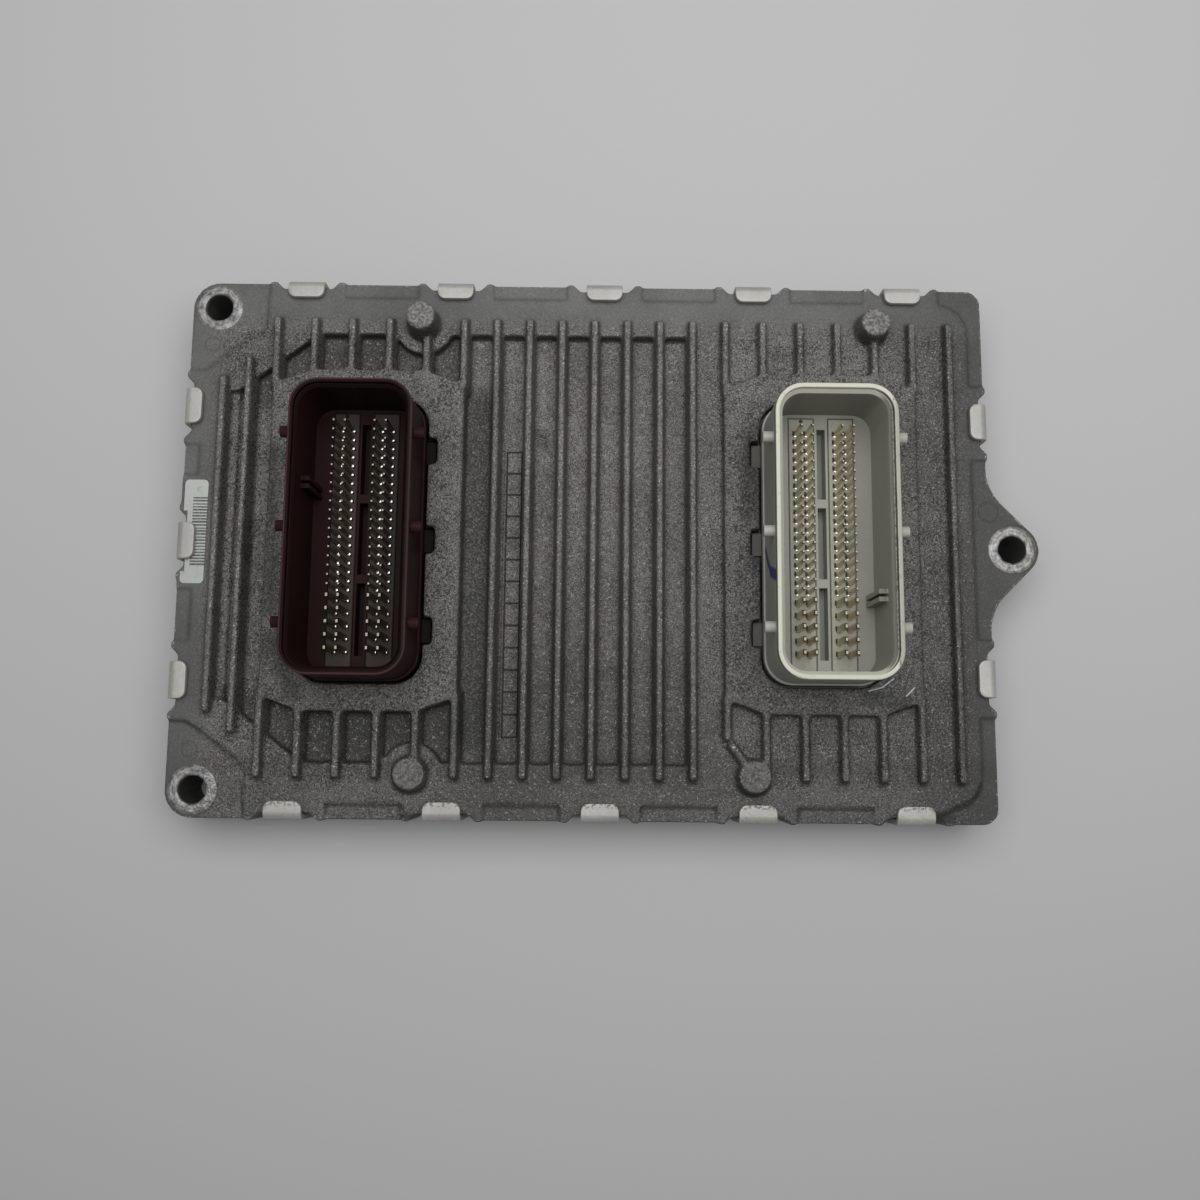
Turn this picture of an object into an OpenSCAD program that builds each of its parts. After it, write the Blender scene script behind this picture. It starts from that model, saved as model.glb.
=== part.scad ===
// Engine control unit: die-cast housing with two sockets, crimped sheet cover and a populated board.
// The mounting plane is z = 0, +Z points out of the sockets, and +X points to the single mounting ear.

/* [Housing] */
// Length of the casting between its straight left and right edges
body_l = 163.5; // [156:0.5:180]
// Width of the casting between its straight top and bottom edges
body_w = 109.5; // [106:0.5:124]
// Height of the flange's top face over the mounting plane
flange_z = 14; // [13:0.25:20]
// Thickness of the side walls
wall_t = 4.7; // [4:0.1:6]
// Thickness of the roof
roof_t = 2.2; // [1.6:0.1:2.6]
// Radius of the left corners, which are concentric with the mounting holes
corner_r_left = 5.5; // [5:0.1:6]
// Radius of the right corners
corner_r_right = 3.1; // [1.5:0.1:5]
// Width of the step round the flange's edge
edge_w = 3.2; // [2:0.1:4]
// Depth of that step
edge_step = 0.5; // [0.3:0.1:1.5]
// Radius of the raised face at the right corners
face_r = 6.5; // [3:0.1:9]
// Length cut off the raised face beside a left corner, along the long edge
face_cut_x = 15.7; // [13:0.1:18]
// Height at which that cut starts, inward from the long edge
face_cut_y = 9.9; // [8:0.1:12]
// Leg of the chamfer that keeps the inside clear of the left mounting holes
cavity_cut = 16; // [14:0.5:22]

/* [Mounting] */
// Diameter of the three mounting holes
bolt_d = 5.5; // [4.5:0.1:6.5]
// Diameter of the raised ring round each hole
ring_d = 9.5; // [8:0.1:10]
// Height of the ring
ring_h = 0.3; // [0.2:0.1:1]
// Distance of the ear's hole beyond the right edge
ear_out = 4.6; // [3:0.1:10]
// Radius of the ear's tip
ear_r = 5.5; // [5:0.1:8]
// Radius of the hollow blend between ear and edge
ear_blend_r = 10; // [4:0.5:14]

/* [Cover and tabs] */
// Thickness of the cover sheet
sheet_t = 1.2; // [0.8:0.1:1.6]
// Inner radius of the sheet's bends
bend_r = 0.4; // [0.2:0.1:0.8]
// Width of a crimp tab
tab_w = 7.4; // [6:0.1:9]
// Length of a tab over the flange, with its bend
tab_lap = 3.7; // [3:0.1:5]
// Pitch of the five tabs on each long edge
tab_pitch = 30.8; // [26:0.1:31]
// Offset of the middle long-edge tab from the centre
tab_shift = 3.5; // [0:0.1:5]
// Pitch of the three left tabs
left_tab_pitch = 27.9; // [24:0.1:30]
// Pitch of the two right tabs
right_tab_pitch = 52.4; // [48:0.1:58]
// Depth of the notch behind a tab
notch_d = 1.2; // [0.8:0.1:1.4]
// Width of a notch at its floor
notch_w = 10; // [9.5:0.1:11]
// Width of the full-height pad at a tab
pad_w = 15.4; // [14.5:0.1:17]
// How far a pad stands out of the edge
pad_out = 0.3; // [0.2:0.1:0.8]
// Clearance between tab and notch floor
tab_fit = 0.15; // [0.05:0.05:0.3]

/* [Fins and ribs] */
// Depth of the recessed field under the fins
field_d = 2.3; // [1:0.1:3]
// Height of fins, ribs and plateaus over the flange
rib_h = 2.4; // [1:0.1:4]
// Width of a rib at its top
rib_top = 1.3; // [0.8:0.1:2]
// Width of a rib at its foot
rib_foot = 2.5; // [2:0.1:3.2]
// Slope run at the ends of a rib
rib_end_run = 1.1; // [0.5:0.1:2]
// Distance of the rib ends from the long edges
rib_end_gap = 7.2; // [6:0.1:9]
// Number of free fins between the sockets
fin_count = 7; // [3:2:7]
// Pitch of the fins
fin_pitch = 6.67; // [5:0.01:6.7]
// Number of ribs at each socket
rib_count = 6; // [6:1:7]
// Pitch of the ribs at each socket
rib_pitch = 7.65; // [7.2:0.05:7.7]
// Distance of the field's edge from the long edges
field_gap = 11; // [10:0.1:13]
// Distance of the field's left edge from the left edge
field_left = 10.4; // [9.8:0.1:11]
// Half length of the field's straight left edge
field_left_half = 31.5; // [28:0.5:34]
// Depth of the shallow shelf beside the field
shelf_d = 1.3; // [0.5:0.1:2]
// Distance of the first left rib from the left edge
left_rib_in = 7.8; // [7:0.1:8]
// Distance of the second left rib from the left edge
second_rib_in = 12.9; // [12:0.1:13.2]
// Distance of the long right rib from the right edge
right_rib_in = 7.6; // [6:0.1:9]
// Radius of a low post at its top
low_post_r = 3.1; // [2.5:0.1:3.8]
// Radius of a tall post at its top
tall_post_r = 2.9; // [2.5:0.1:3.8]
// Height of the left tall post over the flange
tall_post_h = 6; // [3:0.1:9]
// Height of the right tall post over the flange
right_post_h = 5; // [3:0.1:9]
// Height of the two low posts over the flange
low_post_h = 2.8; // [2.5:0.1:5]
// Distance of the posts from the long edges
post_gap = 9; // [8.5:0.1:10]
// Radius of the land round a post in the field
land_r = 6; // [5:0.1:7]

/* [Sockets] */
// Distance between the two socket centres
socket_span = 91.7; // [89:0.1:94]
// Middle between the sockets, from the housing's centre
socket_mid = 1.6; // [0:0.1:3]
// Offset of the sockets along Y
socket_y = 0.4; // [-1:0.1:1]
// Height of the socket rim over the flange
rim_h = 17.6; // [14:0.1:22]
// Height of the socket floor over the flange
floor_h = 2.2; // [1:0.1:3]
// Thickness of the socket floor
floor_t = 5; // [4:0.1:6]
// Wall of the socket below its rim
shroud_wall = 1.6; // [1.2:0.1:2]
// Wall at the rim
rim_wall = 0.9; // [0.6:0.1:1.1]
// Depth of the thinner rim
rim_depth = 1; // [0.6:0.1:3]
// Margin from the outer pin column to the outside of the socket
side_margin = 6.6; // [6.4:0.1:7]
// Margin from the end pin row to the outside of the socket
end_margin = 5.7; // [5.4:0.1:6]
// Outer corner radius of a socket
shroud_r = 5.5; // [4:0.1:6]
// Step of the socket's foot beyond its wall
foot_step = 0.3; // [0.2:0.1:0.5]
// Width of the flange inside the housing, beyond the foot
shroud_flange = 3; // [2.6:0.1:3]
// Thickness of that flange
shroud_flange_t = 1.5; // [1:0.1:2]
// Gap between the socket's foot and its window
window_gap = 0.4; // [0.2:0.05:0.6]
// Diameter of a locking peg
peg_d = 2.2; // [1.5:0.1:3]
// Length of a locking peg
peg_l = 2; // [1:0.1:3]
// Depth of the pegs below the rim
peg_drop = 3; // [2:0.1:5]
// Pitch of the pegs and of the foot lugs
peg_pitch = 18.2; // [16:0.1:20]
// Width of a foot lug
lug_w = 4.6; // [3:0.1:6]
// How far a foot lug stands out
lug_out = 1.8; // [1:0.1:2]
// How far the foot lugs end below the plateau's top
lug_drop = 2.2; // [0:0.1:2.4]
// Width of one bar of the coding key
key_w = 0.9; // [0.5:0.1:1.1]
// Pitch of the key's two bars
key_pitch = 1.5; // [1.3:0.1:2]
// How far the coding key stands into the socket
key_out = 1.7; // [1:0.1:2.1]
// Height of the coding key over the socket floor
key_h = 10.3; // [6:0.1:12]
// Place of the key in the left socket
key_y_a = 9; // [4:0.1:11]
// Place of the key in the right socket
key_y_b = -11.7; // [-15:0.1:-8]

/* [Pins] */
// Rows of slim pins
fine_rows = 19; // [15:1:20]
// Pitch of the slim pins
fine_pitch = 1.8; // [1.7:0.05:1.9]
// Rows of wide pins
wide_rows = 5; // [3:1:6]
// Pitch of the wide pins
wide_pitch = 2.54; // [2.4:0.02:2.7]
// Step from the slim rows to the wide rows
row_gap = 2.17; // [2:0.01:2.5]
// Distance of the two pin columns of a carrier from each other
column_pitch = 2.2; // [2:0.05:2.4]
// Distance between the middles of the two carriers
carrier_pitch = 8; // [7.8:0.05:8.2]
// Width of a slim pin
fine_w = 0.64; // [0.5:0.02:0.7]
// Width of a wide pin's section across its row
wide_w = 0.8; // [0.6:0.05:1]
// Length of a wide pin's section along its row
wide_l = 1.2; // [0.8:0.05:1.3]
// Length of the pins above the socket floor
pin_h = 7; // [5:0.1:9]
// Length of the pins below the board
pin_tail = 1; // [0.5:0.1:1.5]
// Clearance round a pin
pin_fit = 0.05; // [0.02:0.01:0.1]
// Clearance round a carrier
carrier_fit = 0.1; // [0.05:0.01:0.15]

/* [Board] */
// Thickness of the circuit board
board_t = 1.6; // [1:0.1:2]
// Height of the board over the cover
board_lift = 2; // [1.8:0.1:2.4]
// Gap between board and housing wall
board_gap = 0.8; // [0.3:0.1:1.5]
// Radius of the board bosses
boss_r = 3.2; // [2.8:0.1:3.6]
// Diameter of the board screws
screw_d = 3; // [2.5:0.1:3.5]
// Diameter of the screw heads
screw_head_d = 5.6; // [5:0.1:6]
// Height of the screw heads
screw_head_h = 1.4; // [1:0.1:1.5]
// Clearance of the screws in board and boss
screw_fit = 0.1; // [0.05:0.05:0.2]
// Side of the microcontroller
mcu_w = 20; // [14:0.5:22]
// Height of the microcontroller
mcu_h = 1.6; // [1:0.1:2]
// Side of a driver chip
driver_w = 10; // [7:0.5:11]
// Height of a driver chip
driver_h = 2.3; // [1.5:0.1:3]
// Diameter of a smoothing capacitor
cap_d = 8; // [6:0.5:8.5]
// Height of a smoothing capacitor
cap_h = 6; // [4:0.1:6.3]
// Side of an inductor
inductor_w = 7; // [5:0.5:8]

/* [Seals and label] */
// Width of the perimeter seal
seal_w = 1.5; // [1:0.1:1.6]
// Height of the perimeter seal
seal_h = 1.2; // [0.8:0.1:1.6]
// Distance of the seal groove from the inside of the wall
seal_in = 0.9; // [0.7:0.1:1.2]
// Clearance of the seal in its groove
seal_fit = 0.1; // [0.05:0.05:0.15]
// Height of the socket gaskets
gasket_h = 1.2; // [0.8:0.1:1.6]
// Length of the label
label_l = 21.2; // [16:0.1:24]
// Width of the label
label_w = 4.7; // [3:0.1:5]
// Thickness of the label
label_t = 0.15; // [0.1:0.05:0.2]

/* [Hidden] */
$fn = 48;
// Depth that sinks one shape into the next, and reach of a cut past a face
sink = 0.5;
past = 1;
half_l = body_l / 2;
half_w = body_w / 2;
bulge = 2 - sqrt(2);

// Heights
edge_z = flange_z - edge_step;
field_z = flange_z - field_d;
top_z = flange_z + rib_h;
rim_z = flange_z + rim_h;
floor_z = flange_z + floor_h;
board_z = sheet_t + board_lift;
board_top = board_z + board_t;
low_roof = field_z - roof_t;
side_roof = flange_z - roof_t;
socket_roof = top_z - roof_t;
gasket_z = socket_roof - gasket_h;
tab_under = flange_z + label_t;

// Inside of the housing
cavity_x = half_l - wall_t;
cavity_y = half_w - wall_t;

// Mounting holes
hole_x = half_l - corner_r_left;
hole_y = half_w - corner_r_left;
ear_x = half_l + ear_out;

// Tabs
tab_x = [for (i = [-2:2]) tab_shift + i * tab_pitch];
left_tab_y = [for (i = [-1:1]) i * left_tab_pitch];
right_tab_y = [for (i = [-1, 1]) i * right_tab_pitch / 2];

// Pins and sockets
fine_span = (fine_rows - 1) * fine_pitch;
wide_span = (wide_rows - 1) * wide_pitch;
row_span = fine_span + row_gap + wide_span;
fine_y = [for (i = [0:fine_rows - 1]) row_span / 2 - i * fine_pitch];
wide_y = [for (i = [0:wide_rows - 1]) -row_span / 2 + i * wide_pitch];
column_x = [for (s = [-1, 1], c = [-1, 1]) s * carrier_pitch / 2 + c * column_pitch / 2];
socket_w = carrier_pitch + column_pitch + 2 * side_margin;
socket_l = row_span + 2 * end_margin;
socket_a = [socket_mid - socket_span / 2, socket_y];
socket_b = [socket_mid + socket_span / 2, socket_y];
inner_w = socket_w - 2 * shroud_wall;
inner_l = socket_l - 2 * shroud_wall;
carrier_side = 1.45;
carrier_end = 3.3;
carrier_w = column_pitch + 2 * carrier_side;
carrier_l = row_span + 2 * carrier_end;
slot_w = 1.7;
slot_pitch = 16.2;
slot_l = 14.4;
slot_skin = 1.5;
dot_d = 0.9;
dot_deep = 1.5;
flange_gap = 0.5;

// Ribs, plateaus and posts
rib_end = half_w - rib_end_gap;
function rib_x(socket, i) = socket.x + (i - (rib_count - 1) / 2) * rib_pitch;
plateau_reach_up = 7;
plateau_reach_down = 6.1;
plateau_up = socket_l / 2 + plateau_reach_up;
plateau_down = socket_l / 2 + plateau_reach_down;
plateau_cut = 2.9;
left_rib_short = 12.4;
second_rib_short = 8.5;
slant_rise = 6;
post_y = half_w - post_gap;
post_slope = 0.9;
post_a_shift = 0.9;
post_b_shift = 0.3;
low_post_shift = 2.4;
last_rib = rib_count - 1;
post_a = rib_x(socket_a, last_rib - 1) - post_a_shift;
post_b = rib_x(socket_b, last_rib - 1) - post_b_shift;
low_post_b = rib_x(socket_b, 1) - low_post_shift;
fin_x = [for (i = [0:fin_count - 1]) socket_mid + (i - (fin_count - 1) / 2) * fin_pitch];
field_right = fin_x[fin_count - 1];
field_y = half_w - field_gap;
field_slope = 1.3;

// Board screws stand under the posts and along both ends
boss_in = 4.5;
boss_y = 20;
corner_boss_in = 6;
boss_x = cavity_x - boss_in;
boss_at = [
    [post_a, post_y], [post_a, -post_y], [post_b, post_y], [low_post_b, -post_y],
    [-boss_x, boss_y], [-boss_x, -boss_y], [boss_x, 0], [boss_x, -cavity_y + corner_boss_in]
];
function roof_over(p) = p.x > field_right + roof_t ? side_roof : low_roof;

// Label, gap beside the cover and slope of the rings round the holes
label_y = 2;
label_r = 0.9;
label_edge = 0.8;
label_margin = 1;
cover_gap = 0.4;
ring_slope = 0.4;

// Parts on the board: places, then width, length and height
mcu_shift = [8, 8];
mcu_at = [socket_mid, 0] + mcu_shift;
mcu_side = mcu_w / 2;
driver_gap = 3;
driver_y = -22;
driver_at = [for (i = [-1.5:1.5]) [socket_mid + i * (driver_w + driver_gap), driver_y]];
memory_size = [10, 13, 1.2];
memory_step = 9;
memory_at = mcu_at - [mcu_side + memory_step, 0];
transistor_size = [6.5, 6, 2.3];
transistor_pitch = 9;
transistor_in = 11;
transistor_y = transistor_in - cavity_y;
crystal_size = [5, 3.2, 1.2];
crystal_step = [2, 5];
crystal_at = mcu_at + [-mcu_side, mcu_side] + crystal_step;
sensor_size = [7, 7, 3];
sensor_step = [-3, 6];
sensor_at = mcu_at + [mcu_side, mcu_side] + sensor_step;
cap_gap = 1.5;
cap_pitch = cap_d + 3;
cap_reach = socket_l / 2 + foot_step + shroud_flange + cap_gap + cap_d / 2;
cap_at = [socket_b + [-cap_pitch, cap_reach], socket_b + [0, cap_reach], socket_b - [0, cap_reach]];
cap_waist = 0.6;
cap_foot = 1;
chip_cap_size = [2, 1.2, 1];
chip_cap_pitch = [6, 3.5];
chip_cap_in = 14;
chip_cap_y = cavity_y - chip_cap_in;
inductor_h = 3.6;
inductor_in = 3;
inductor_y = 7;
pad_inset = 1;

// Points of an arc
function arc(c, r, a0, a1, n = 8) =
    [for (i = [0:n]) let (a = a0 + (a1 - a0) * i / n) c + r * [cos(a), sin(a)]];

// Rectangle with one corner radius on the left and one on the right
function rounded(x0, x1, y0, y1, rl, rr) = concat(
    arc([x1 - rr, y1 - rr], rr, 0, 90), arc([x0 + rl, y1 - rl], rl, 90, 180),
    arc([x0 + rl, y0 + rl], rl, 180, 270), arc([x1 - rr, y0 + rr], rr, 270, 360)
);

// Rectangle about the origin with one corner radius
function slab(w, l, r) = rounded(-w / 2, w / 2, -l / 2, l / 2, r, r);

// Inside outline of the housing, grown outward by e, with its two left corners cut at 45 degrees
function inside(e) = let (x = cavity_x + e, y = cavity_y + e, c = cavity_cut + e * bulge)
    [[x, -y], [x, y], [-x + c, y], [-x, y - c], [-x, -y + c], [-x + c, -y]];

// Puts its child at every crimp tab, with local Y pointing out of the edge
module tab_sites() {
    for (x = tab_x) {
        translate([x, half_w, 0]) children();
        translate([x, -half_w, 0]) rotate(180) children();
    }
    for (y = left_tab_y) translate([-half_l, y, 0]) rotate(90) children();
    for (y = right_tab_y) translate([half_l, y, 0]) rotate(-90) children();
}

// Pad at a tab, a trapezoid that stands slightly out of the edge
module pad_2d(depth) {
    polygon([
        [-pad_w / 2, -depth], [pad_w / 2, -depth], [pad_w / 2, 0],
        [pad_w / 2 - pad_out / 2, pad_out], [-pad_w / 2 + pad_out / 2, pad_out], [-pad_w / 2, 0]
    ]);
}

// Notch behind a tab, with sloping flanks
module notch_2d() {
    flare = notch_d + pad_out + sink;
    polygon([
        [-notch_w / 2, -notch_d], [notch_w / 2, -notch_d],
        [notch_w / 2 + flare, pad_out + sink], [-notch_w / 2 - flare, pad_out + sink]
    ]);
}

// Ear with a round tip, 45 degree flanks and hollow blends into the edge
module ear_2d() {
    flank = ear_r * sin(45);
    run = ear_out + flank;
    blend = ear_blend_r * tan(22.5);
    foot = flank + run;
    polygon(concat(
        [[half_l - wall_t, -foot - blend]],
        arc([half_l + ear_blend_r, -foot - blend], ear_blend_r, 180, 135),
        arc([ear_x, 0], ear_r, -45, 45, 16),
        arc([half_l + ear_blend_r, foot + blend], ear_blend_r, 225, 180),
        [[half_l - wall_t, foot + blend]]
    ));
}

// Whole outline of the casting
module outline_2d() {
    difference() {
        union() {
            polygon(rounded(-half_l, half_l, -half_w, half_w, corner_r_left, corner_r_right));
            ear_2d();
            tab_sites() pad_2d(wall_t);
        }
        tab_sites() notch_2d();
    }
}

// Raised face inside the edge step, with the pads that carry the tabs and the label
module face_2d() {
    x = half_l - edge_w;
    y = half_w - edge_w;
    cut_x = half_l - face_cut_x;
    cut_y = half_w - face_cut_y;
    pad_end = left_tab_pitch + pad_w / 2;
    difference() {
        union() {
            polygon(concat(
                arc([x - face_r, -y + face_r], face_r, -90, 0),
                arc([x - face_r, y - face_r], face_r, 0, 90),
                [[-cut_x, y], [-cut_x, cut_y], [-x, pad_end]],
                [[-x, -pad_end], [-cut_x, -cut_y], [-cut_x, -y]]
            ));
            tab_sites() pad_2d(edge_w + sink);
            translate([-half_l, label_y - label_l / 2 - label_margin])
                square([edge_w + sink, label_l + 2 * label_margin]);
        }
        tab_sites() notch_2d();
        chip_2d();
    }
}

// Corner of the right-hand bottom pad that has broken away
module chip_2d() {
    translate([tab_x[4], -half_w])
        polygon([[tab_w / 2, -past], [tab_w / 2, notch_d], [pad_w / 2, edge_w], [pad_w / 2, -past]]);
}

// Recessed field between the left ribs and the last fin
module field_2d() {
    x = half_l - field_left;
    diagonal = field_slope * (field_y - field_left_half);
    difference() {
        polygon([
            [field_right, -field_y], [field_right, field_y], [-x + diagonal, field_y],
            [-x, field_left_half], [-x, -field_left_half], [-x + diagonal, -field_y]
        ]);
        for (s = [-1, 1]) translate([post_a, s * post_y]) circle(land_r);
    }
}

// Straight rib with sloping flanks and ends, from y0 to y1
module rib(x, y0, y1) {
    foot_z = field_z - sink;
    middle = (y0 + y1) / 2;
    half = (y1 - y0) / 2;
    translate([x, middle, 0]) intersection() {
        rotate([90, 0, 0]) linear_extrude(2 * half, center = true) polygon([
            [-rib_foot / 2, foot_z], [rib_foot / 2, foot_z], [rib_top / 2, top_z], [-rib_top / 2, top_z]
        ]);
        rotate([90, 0, 90]) linear_extrude(rib_foot, center = true) polygon([
            [-half, foot_z], [half, foot_z], [half - rib_end_run, top_z], [-half + rib_end_run, top_z]
        ]);
    }
}

// Rib from point p to point q
module slant_rib(p, q) {
    run = q - p;
    translate([p.x, p.y, 0]) rotate(atan2(run.y, run.x) - 90) rib(0, 0, norm(run));
}

// Raised plateau round one socket, with its corners cut between the two outer ribs
module plateau(socket) {
    x0 = rib_x(socket, 0) - rib_top / 3;
    x1 = rib_x(socket, last_rib) + rib_top / 3;
    near = rib_x(socket, 1);
    far = rib_x(socket, last_rib - 1);
    up = socket.y + plateau_up;
    down = socket.y - plateau_down;
    translate([0, 0, field_z - sink]) linear_extrude(top_z - field_z + sink) polygon([
        [x0, down + plateau_cut], [near, down], [far, down], [x1, down + plateau_cut],
        [x1, up - plateau_cut], [far, up], [near, up], [x0, up - plateau_cut]
    ]);
}

// Ribs above and below one socket: the stop ribs end at a post, the first lower rib at first_down
module socket_ribs(socket, stop_up, stop_down, first_down) {
    for (i = [0:last_rib]) {
        edge = i == 0 || i == last_rib ? plateau_cut : 0;
        up = socket.y + plateau_up - edge - rib_end_run - sink;
        down = socket.y - plateau_down + edge + rib_end_run + sink;
        end = i == 0 ? first_down : i == stop_down ? post_y : rib_end;
        rib(rib_x(socket, i), up, i == stop_up ? post_y : rib_end);
        rib(rib_x(socket, i), -end, down);
    }
}

// Round post with a sloping side, h over the flange and of radius r at its top
module post(x, y, h, r) {
    translate([x, y, field_z]) cylinder(h = flange_z + h - field_z, r1 = r + post_slope, r2 = r);
}

// Fins, ribs, plateaus and posts
module top_relief() {
    for (x = fin_x) rib(x, -rib_end, rib_end);
    rib(-half_l + left_rib_in, -rib_end + left_rib_short, rib_end - left_rib_short);
    rib(-half_l + second_rib_in, -rib_end + second_rib_short, rib_end - second_rib_short);
    rib(half_l - right_rib_in, -rib_end, rib_end);
    for (socket = [socket_a, socket_b]) plateau(socket);
    socket_ribs(socket_a, last_rib - 1, last_rib - 1, rib_end);
    socket_ribs(socket_b, last_rib - 1, 1, post_y - slant_rise);
    slant_rib([rib_x(socket_b, 0), -post_y + slant_rise + rib_end_run], [low_post_b, -post_y]);
    post(post_a, post_y, tall_post_h, tall_post_r);
    post(post_b, post_y, right_post_h, tall_post_r);
    for (x = [post_a, low_post_b]) post(x, -post_y, low_post_h, low_post_r);
}

// Ladder of plain cells left by the casting die on the field
module die_ladder() {
    cells = 13;
    cell_l = 4.47;
    cell_w = 3;
    line_w = 0.4;
    line_h = 0.35;
    first_cell = 9;
    shift = 0.45;
    middle = (fin_x[0] + fin_x[1]) / 2 + shift;
    translate([middle, -rib_end + first_cell, field_z - sink]) {
        for (s = [-1, 1]) translate([s * cell_w / 2 - line_w / 2, 0, 0])
            cube([line_w, cells * cell_l, line_h + sink]);
        for (i = [0:cells])
            translate([-cell_w / 2, i * cell_l - line_w / 2, 0]) cube([cell_w, line_w, line_h + sink]);
    }
}

// Mounting feet that reach the mounting plane beside the cover
module feet_2d() {
    difference() {
        outline_2d();
        difference() {
            polygon(inside(wall_t + cover_gap));
            translate([half_l + cover_gap, -half_w]) square([2 * ear_out, body_w]);
        }
        tab_sites() translate([-pad_w / 2, -wall_t]) square([pad_w, 2 * wall_t]);
        translate([-half_l + 2 * cavity_cut, -body_w])
            square([body_l + cover_gap - 2 * cavity_cut, 2 * body_w]);
    }
}

// Places of the three mounting holes
module hole_sites() {
    for (s = [-1, 1]) translate([-hole_x, s * hole_y, 0]) children();
    translate([ear_x, 0, 0]) children();
}

// Outline of a socket's foot with its lugs, grown by e
module foot_2d(e) {
    w = socket_w + 2 * foot_step + 2 * e;
    l = socket_l + 2 * foot_step + 2 * e;
    union() {
        polygon(slab(w, l, shroud_r));
        for (i = [-1:1]) translate([0, i * peg_pitch])
            square([w + 2 * lug_out, lug_w + 2 * e], center = true);
    }
}

// Outline of the flange that holds a socket inside the housing, grown by e
function shroud_flange_points(e) =
    let (grow = 2 * (foot_step + shroud_flange + e)) slab(socket_w + grow, socket_l + grow, shroud_r);

// Space inside the housing
module housing_space() {
    under = sheet_t - sink;
    translate([0, 0, under]) linear_extrude(low_roof - under) polygon(inside(0));
    translate([field_right + roof_t, -cavity_y, under])
        cube([cavity_x - field_right - roof_t, 2 * cavity_y, side_roof - under]);
    for (socket = [socket_a, socket_b]) translate([socket.x, socket.y, 0]) {
        translate([0, 0, under]) linear_extrude(socket_roof - under)
            polygon(shroud_flange_points(flange_gap));
        translate([0, 0, under]) linear_extrude(top_z + past - under) foot_2d(window_gap);
    }
}

// Die-cast housing
module housing() {
    color([0.42, 0.42, 0.41]) difference() {
        union() {
            difference() {
                union() {
                    translate([0, 0, sheet_t]) linear_extrude(edge_z - sheet_t) outline_2d();
                    translate([0, 0, edge_z - sink]) linear_extrude(edge_step + sink) face_2d();
                    linear_extrude(edge_z - sink) feet_2d();
                    hole_sites() translate([0, 0, edge_z - sink])
                        cylinder(h = ring_h + sink, d1 = ring_d + ring_slope, d2 = ring_d - ring_slope);
                }
                translate([0, 0, field_z]) linear_extrude(field_d + past) field_2d();
                translate([-half_l + left_rib_in, -field_left_half, flange_z - shelf_d])
                    cube([field_left - left_rib_in + sink, 2 * field_left_half, shelf_d + past]);
                housing_space();
            }
            difference() {
                union() {
                    top_relief();
                    die_ladder();
                }
                housing_space();
            }
            for (p = boss_at) translate([p.x, p.y, board_top])
                cylinder(h = roof_over(p) + sink - board_top, r = boss_r);
        }
        hole_sites() translate([0, 0, -past]) cylinder(h = flange_z + 2 * past, d = bolt_d);
        for (p = boss_at) translate([p.x, p.y, board_top - past])
            cylinder(h = low_roof - board_top, d = screw_d + 2 * screw_fit);
        translate([0, 0, sheet_t - past]) linear_extrude(seal_h + seal_fit + past) difference() {
            polygon(inside(seal_in + seal_w + 2 * seal_fit));
            polygon(inside(seal_in));
        }
        tab_sites() translate([-notch_w / 2, -notch_d - bend_r, 0])
            cube([notch_w, notch_d + bend_r, sheet_t + 2 * bend_r]);
    }
}

// Section of a folded tab: out of the cover, up the wall and over the flange
function tab_section() = let (
    inner = -notch_d + tab_fit, outer = inner + sheet_t, ro = bend_r + sheet_t,
    top = tab_under + sheet_t, tip = outer - tab_lap, root = -notch_d - tab_lap
) concat(
    [[root, 0]], arc([outer - ro, ro], ro, -90, 0, 6), arc([outer - ro, top - ro], ro, 0, 90, 6),
    [[tip, top], [tip, tab_under]], arc([inner - bend_r, tab_under - bend_r], bend_r, 90, 0, 4),
    arc([inner - bend_r, sheet_t + bend_r], bend_r, 0, -90, 4), [[root, sheet_t]]
);

// One folded tab with its two inner corners cut off
module tab() {
    corner = 0.9 * sqrt(2);
    tip = -notch_d + tab_fit + sheet_t - tab_lap;
    difference() {
        rotate([90, 0, 90]) linear_extrude(tab_w, center = true) polygon(tab_section());
        for (s = [-1, 1]) translate([s * tab_w / 2, tip, tab_under])
            rotate(45) cube([corner, corner, 3 * sheet_t], center = true);
    }
}

// Folded sheet cover
module base_plate() {
    relief = 0.6;
    slit = notch_d + tab_lap / 2;
    color([0.78, 0.77, 0.74]) union() {
        linear_extrude(sheet_t) difference() {
            intersection() {
                polygon(rounded(-half_l, half_l, -half_w, half_w, corner_r_left, corner_r_right));
                polygon(inside(wall_t));
            }
            tab_sites() translate([-tab_w / 2 - relief, -slit]) square([tab_w + 2 * relief, 2 * slit]);
        }
        tab_sites() tab();
    }
}

// Elastic bead between the housing's rim and the cover
module perimeter_seal() {
    color([0.12, 0.12, 0.12]) translate([0, 0, sheet_t]) linear_extrude(seal_h) difference() {
        polygon(inside(seal_in + seal_fit + seal_w));
        polygon(inside(seal_in + seal_fit));
    }
}

// Pale sticker under the middle left tab, cut out round the tab's notch
module bar_label() {
    color([0.86, 0.88, 0.84]) translate([0, 0, flange_z]) linear_extrude(label_t) difference() {
        translate([-half_l + label_edge + label_w / 2, label_y]) polygon(slab(label_w, label_l, label_r));
        translate([-half_l, 0]) square([2 * (notch_d + bend_r), notch_w + 2 * notch_d], center = true);
    }
}

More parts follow.
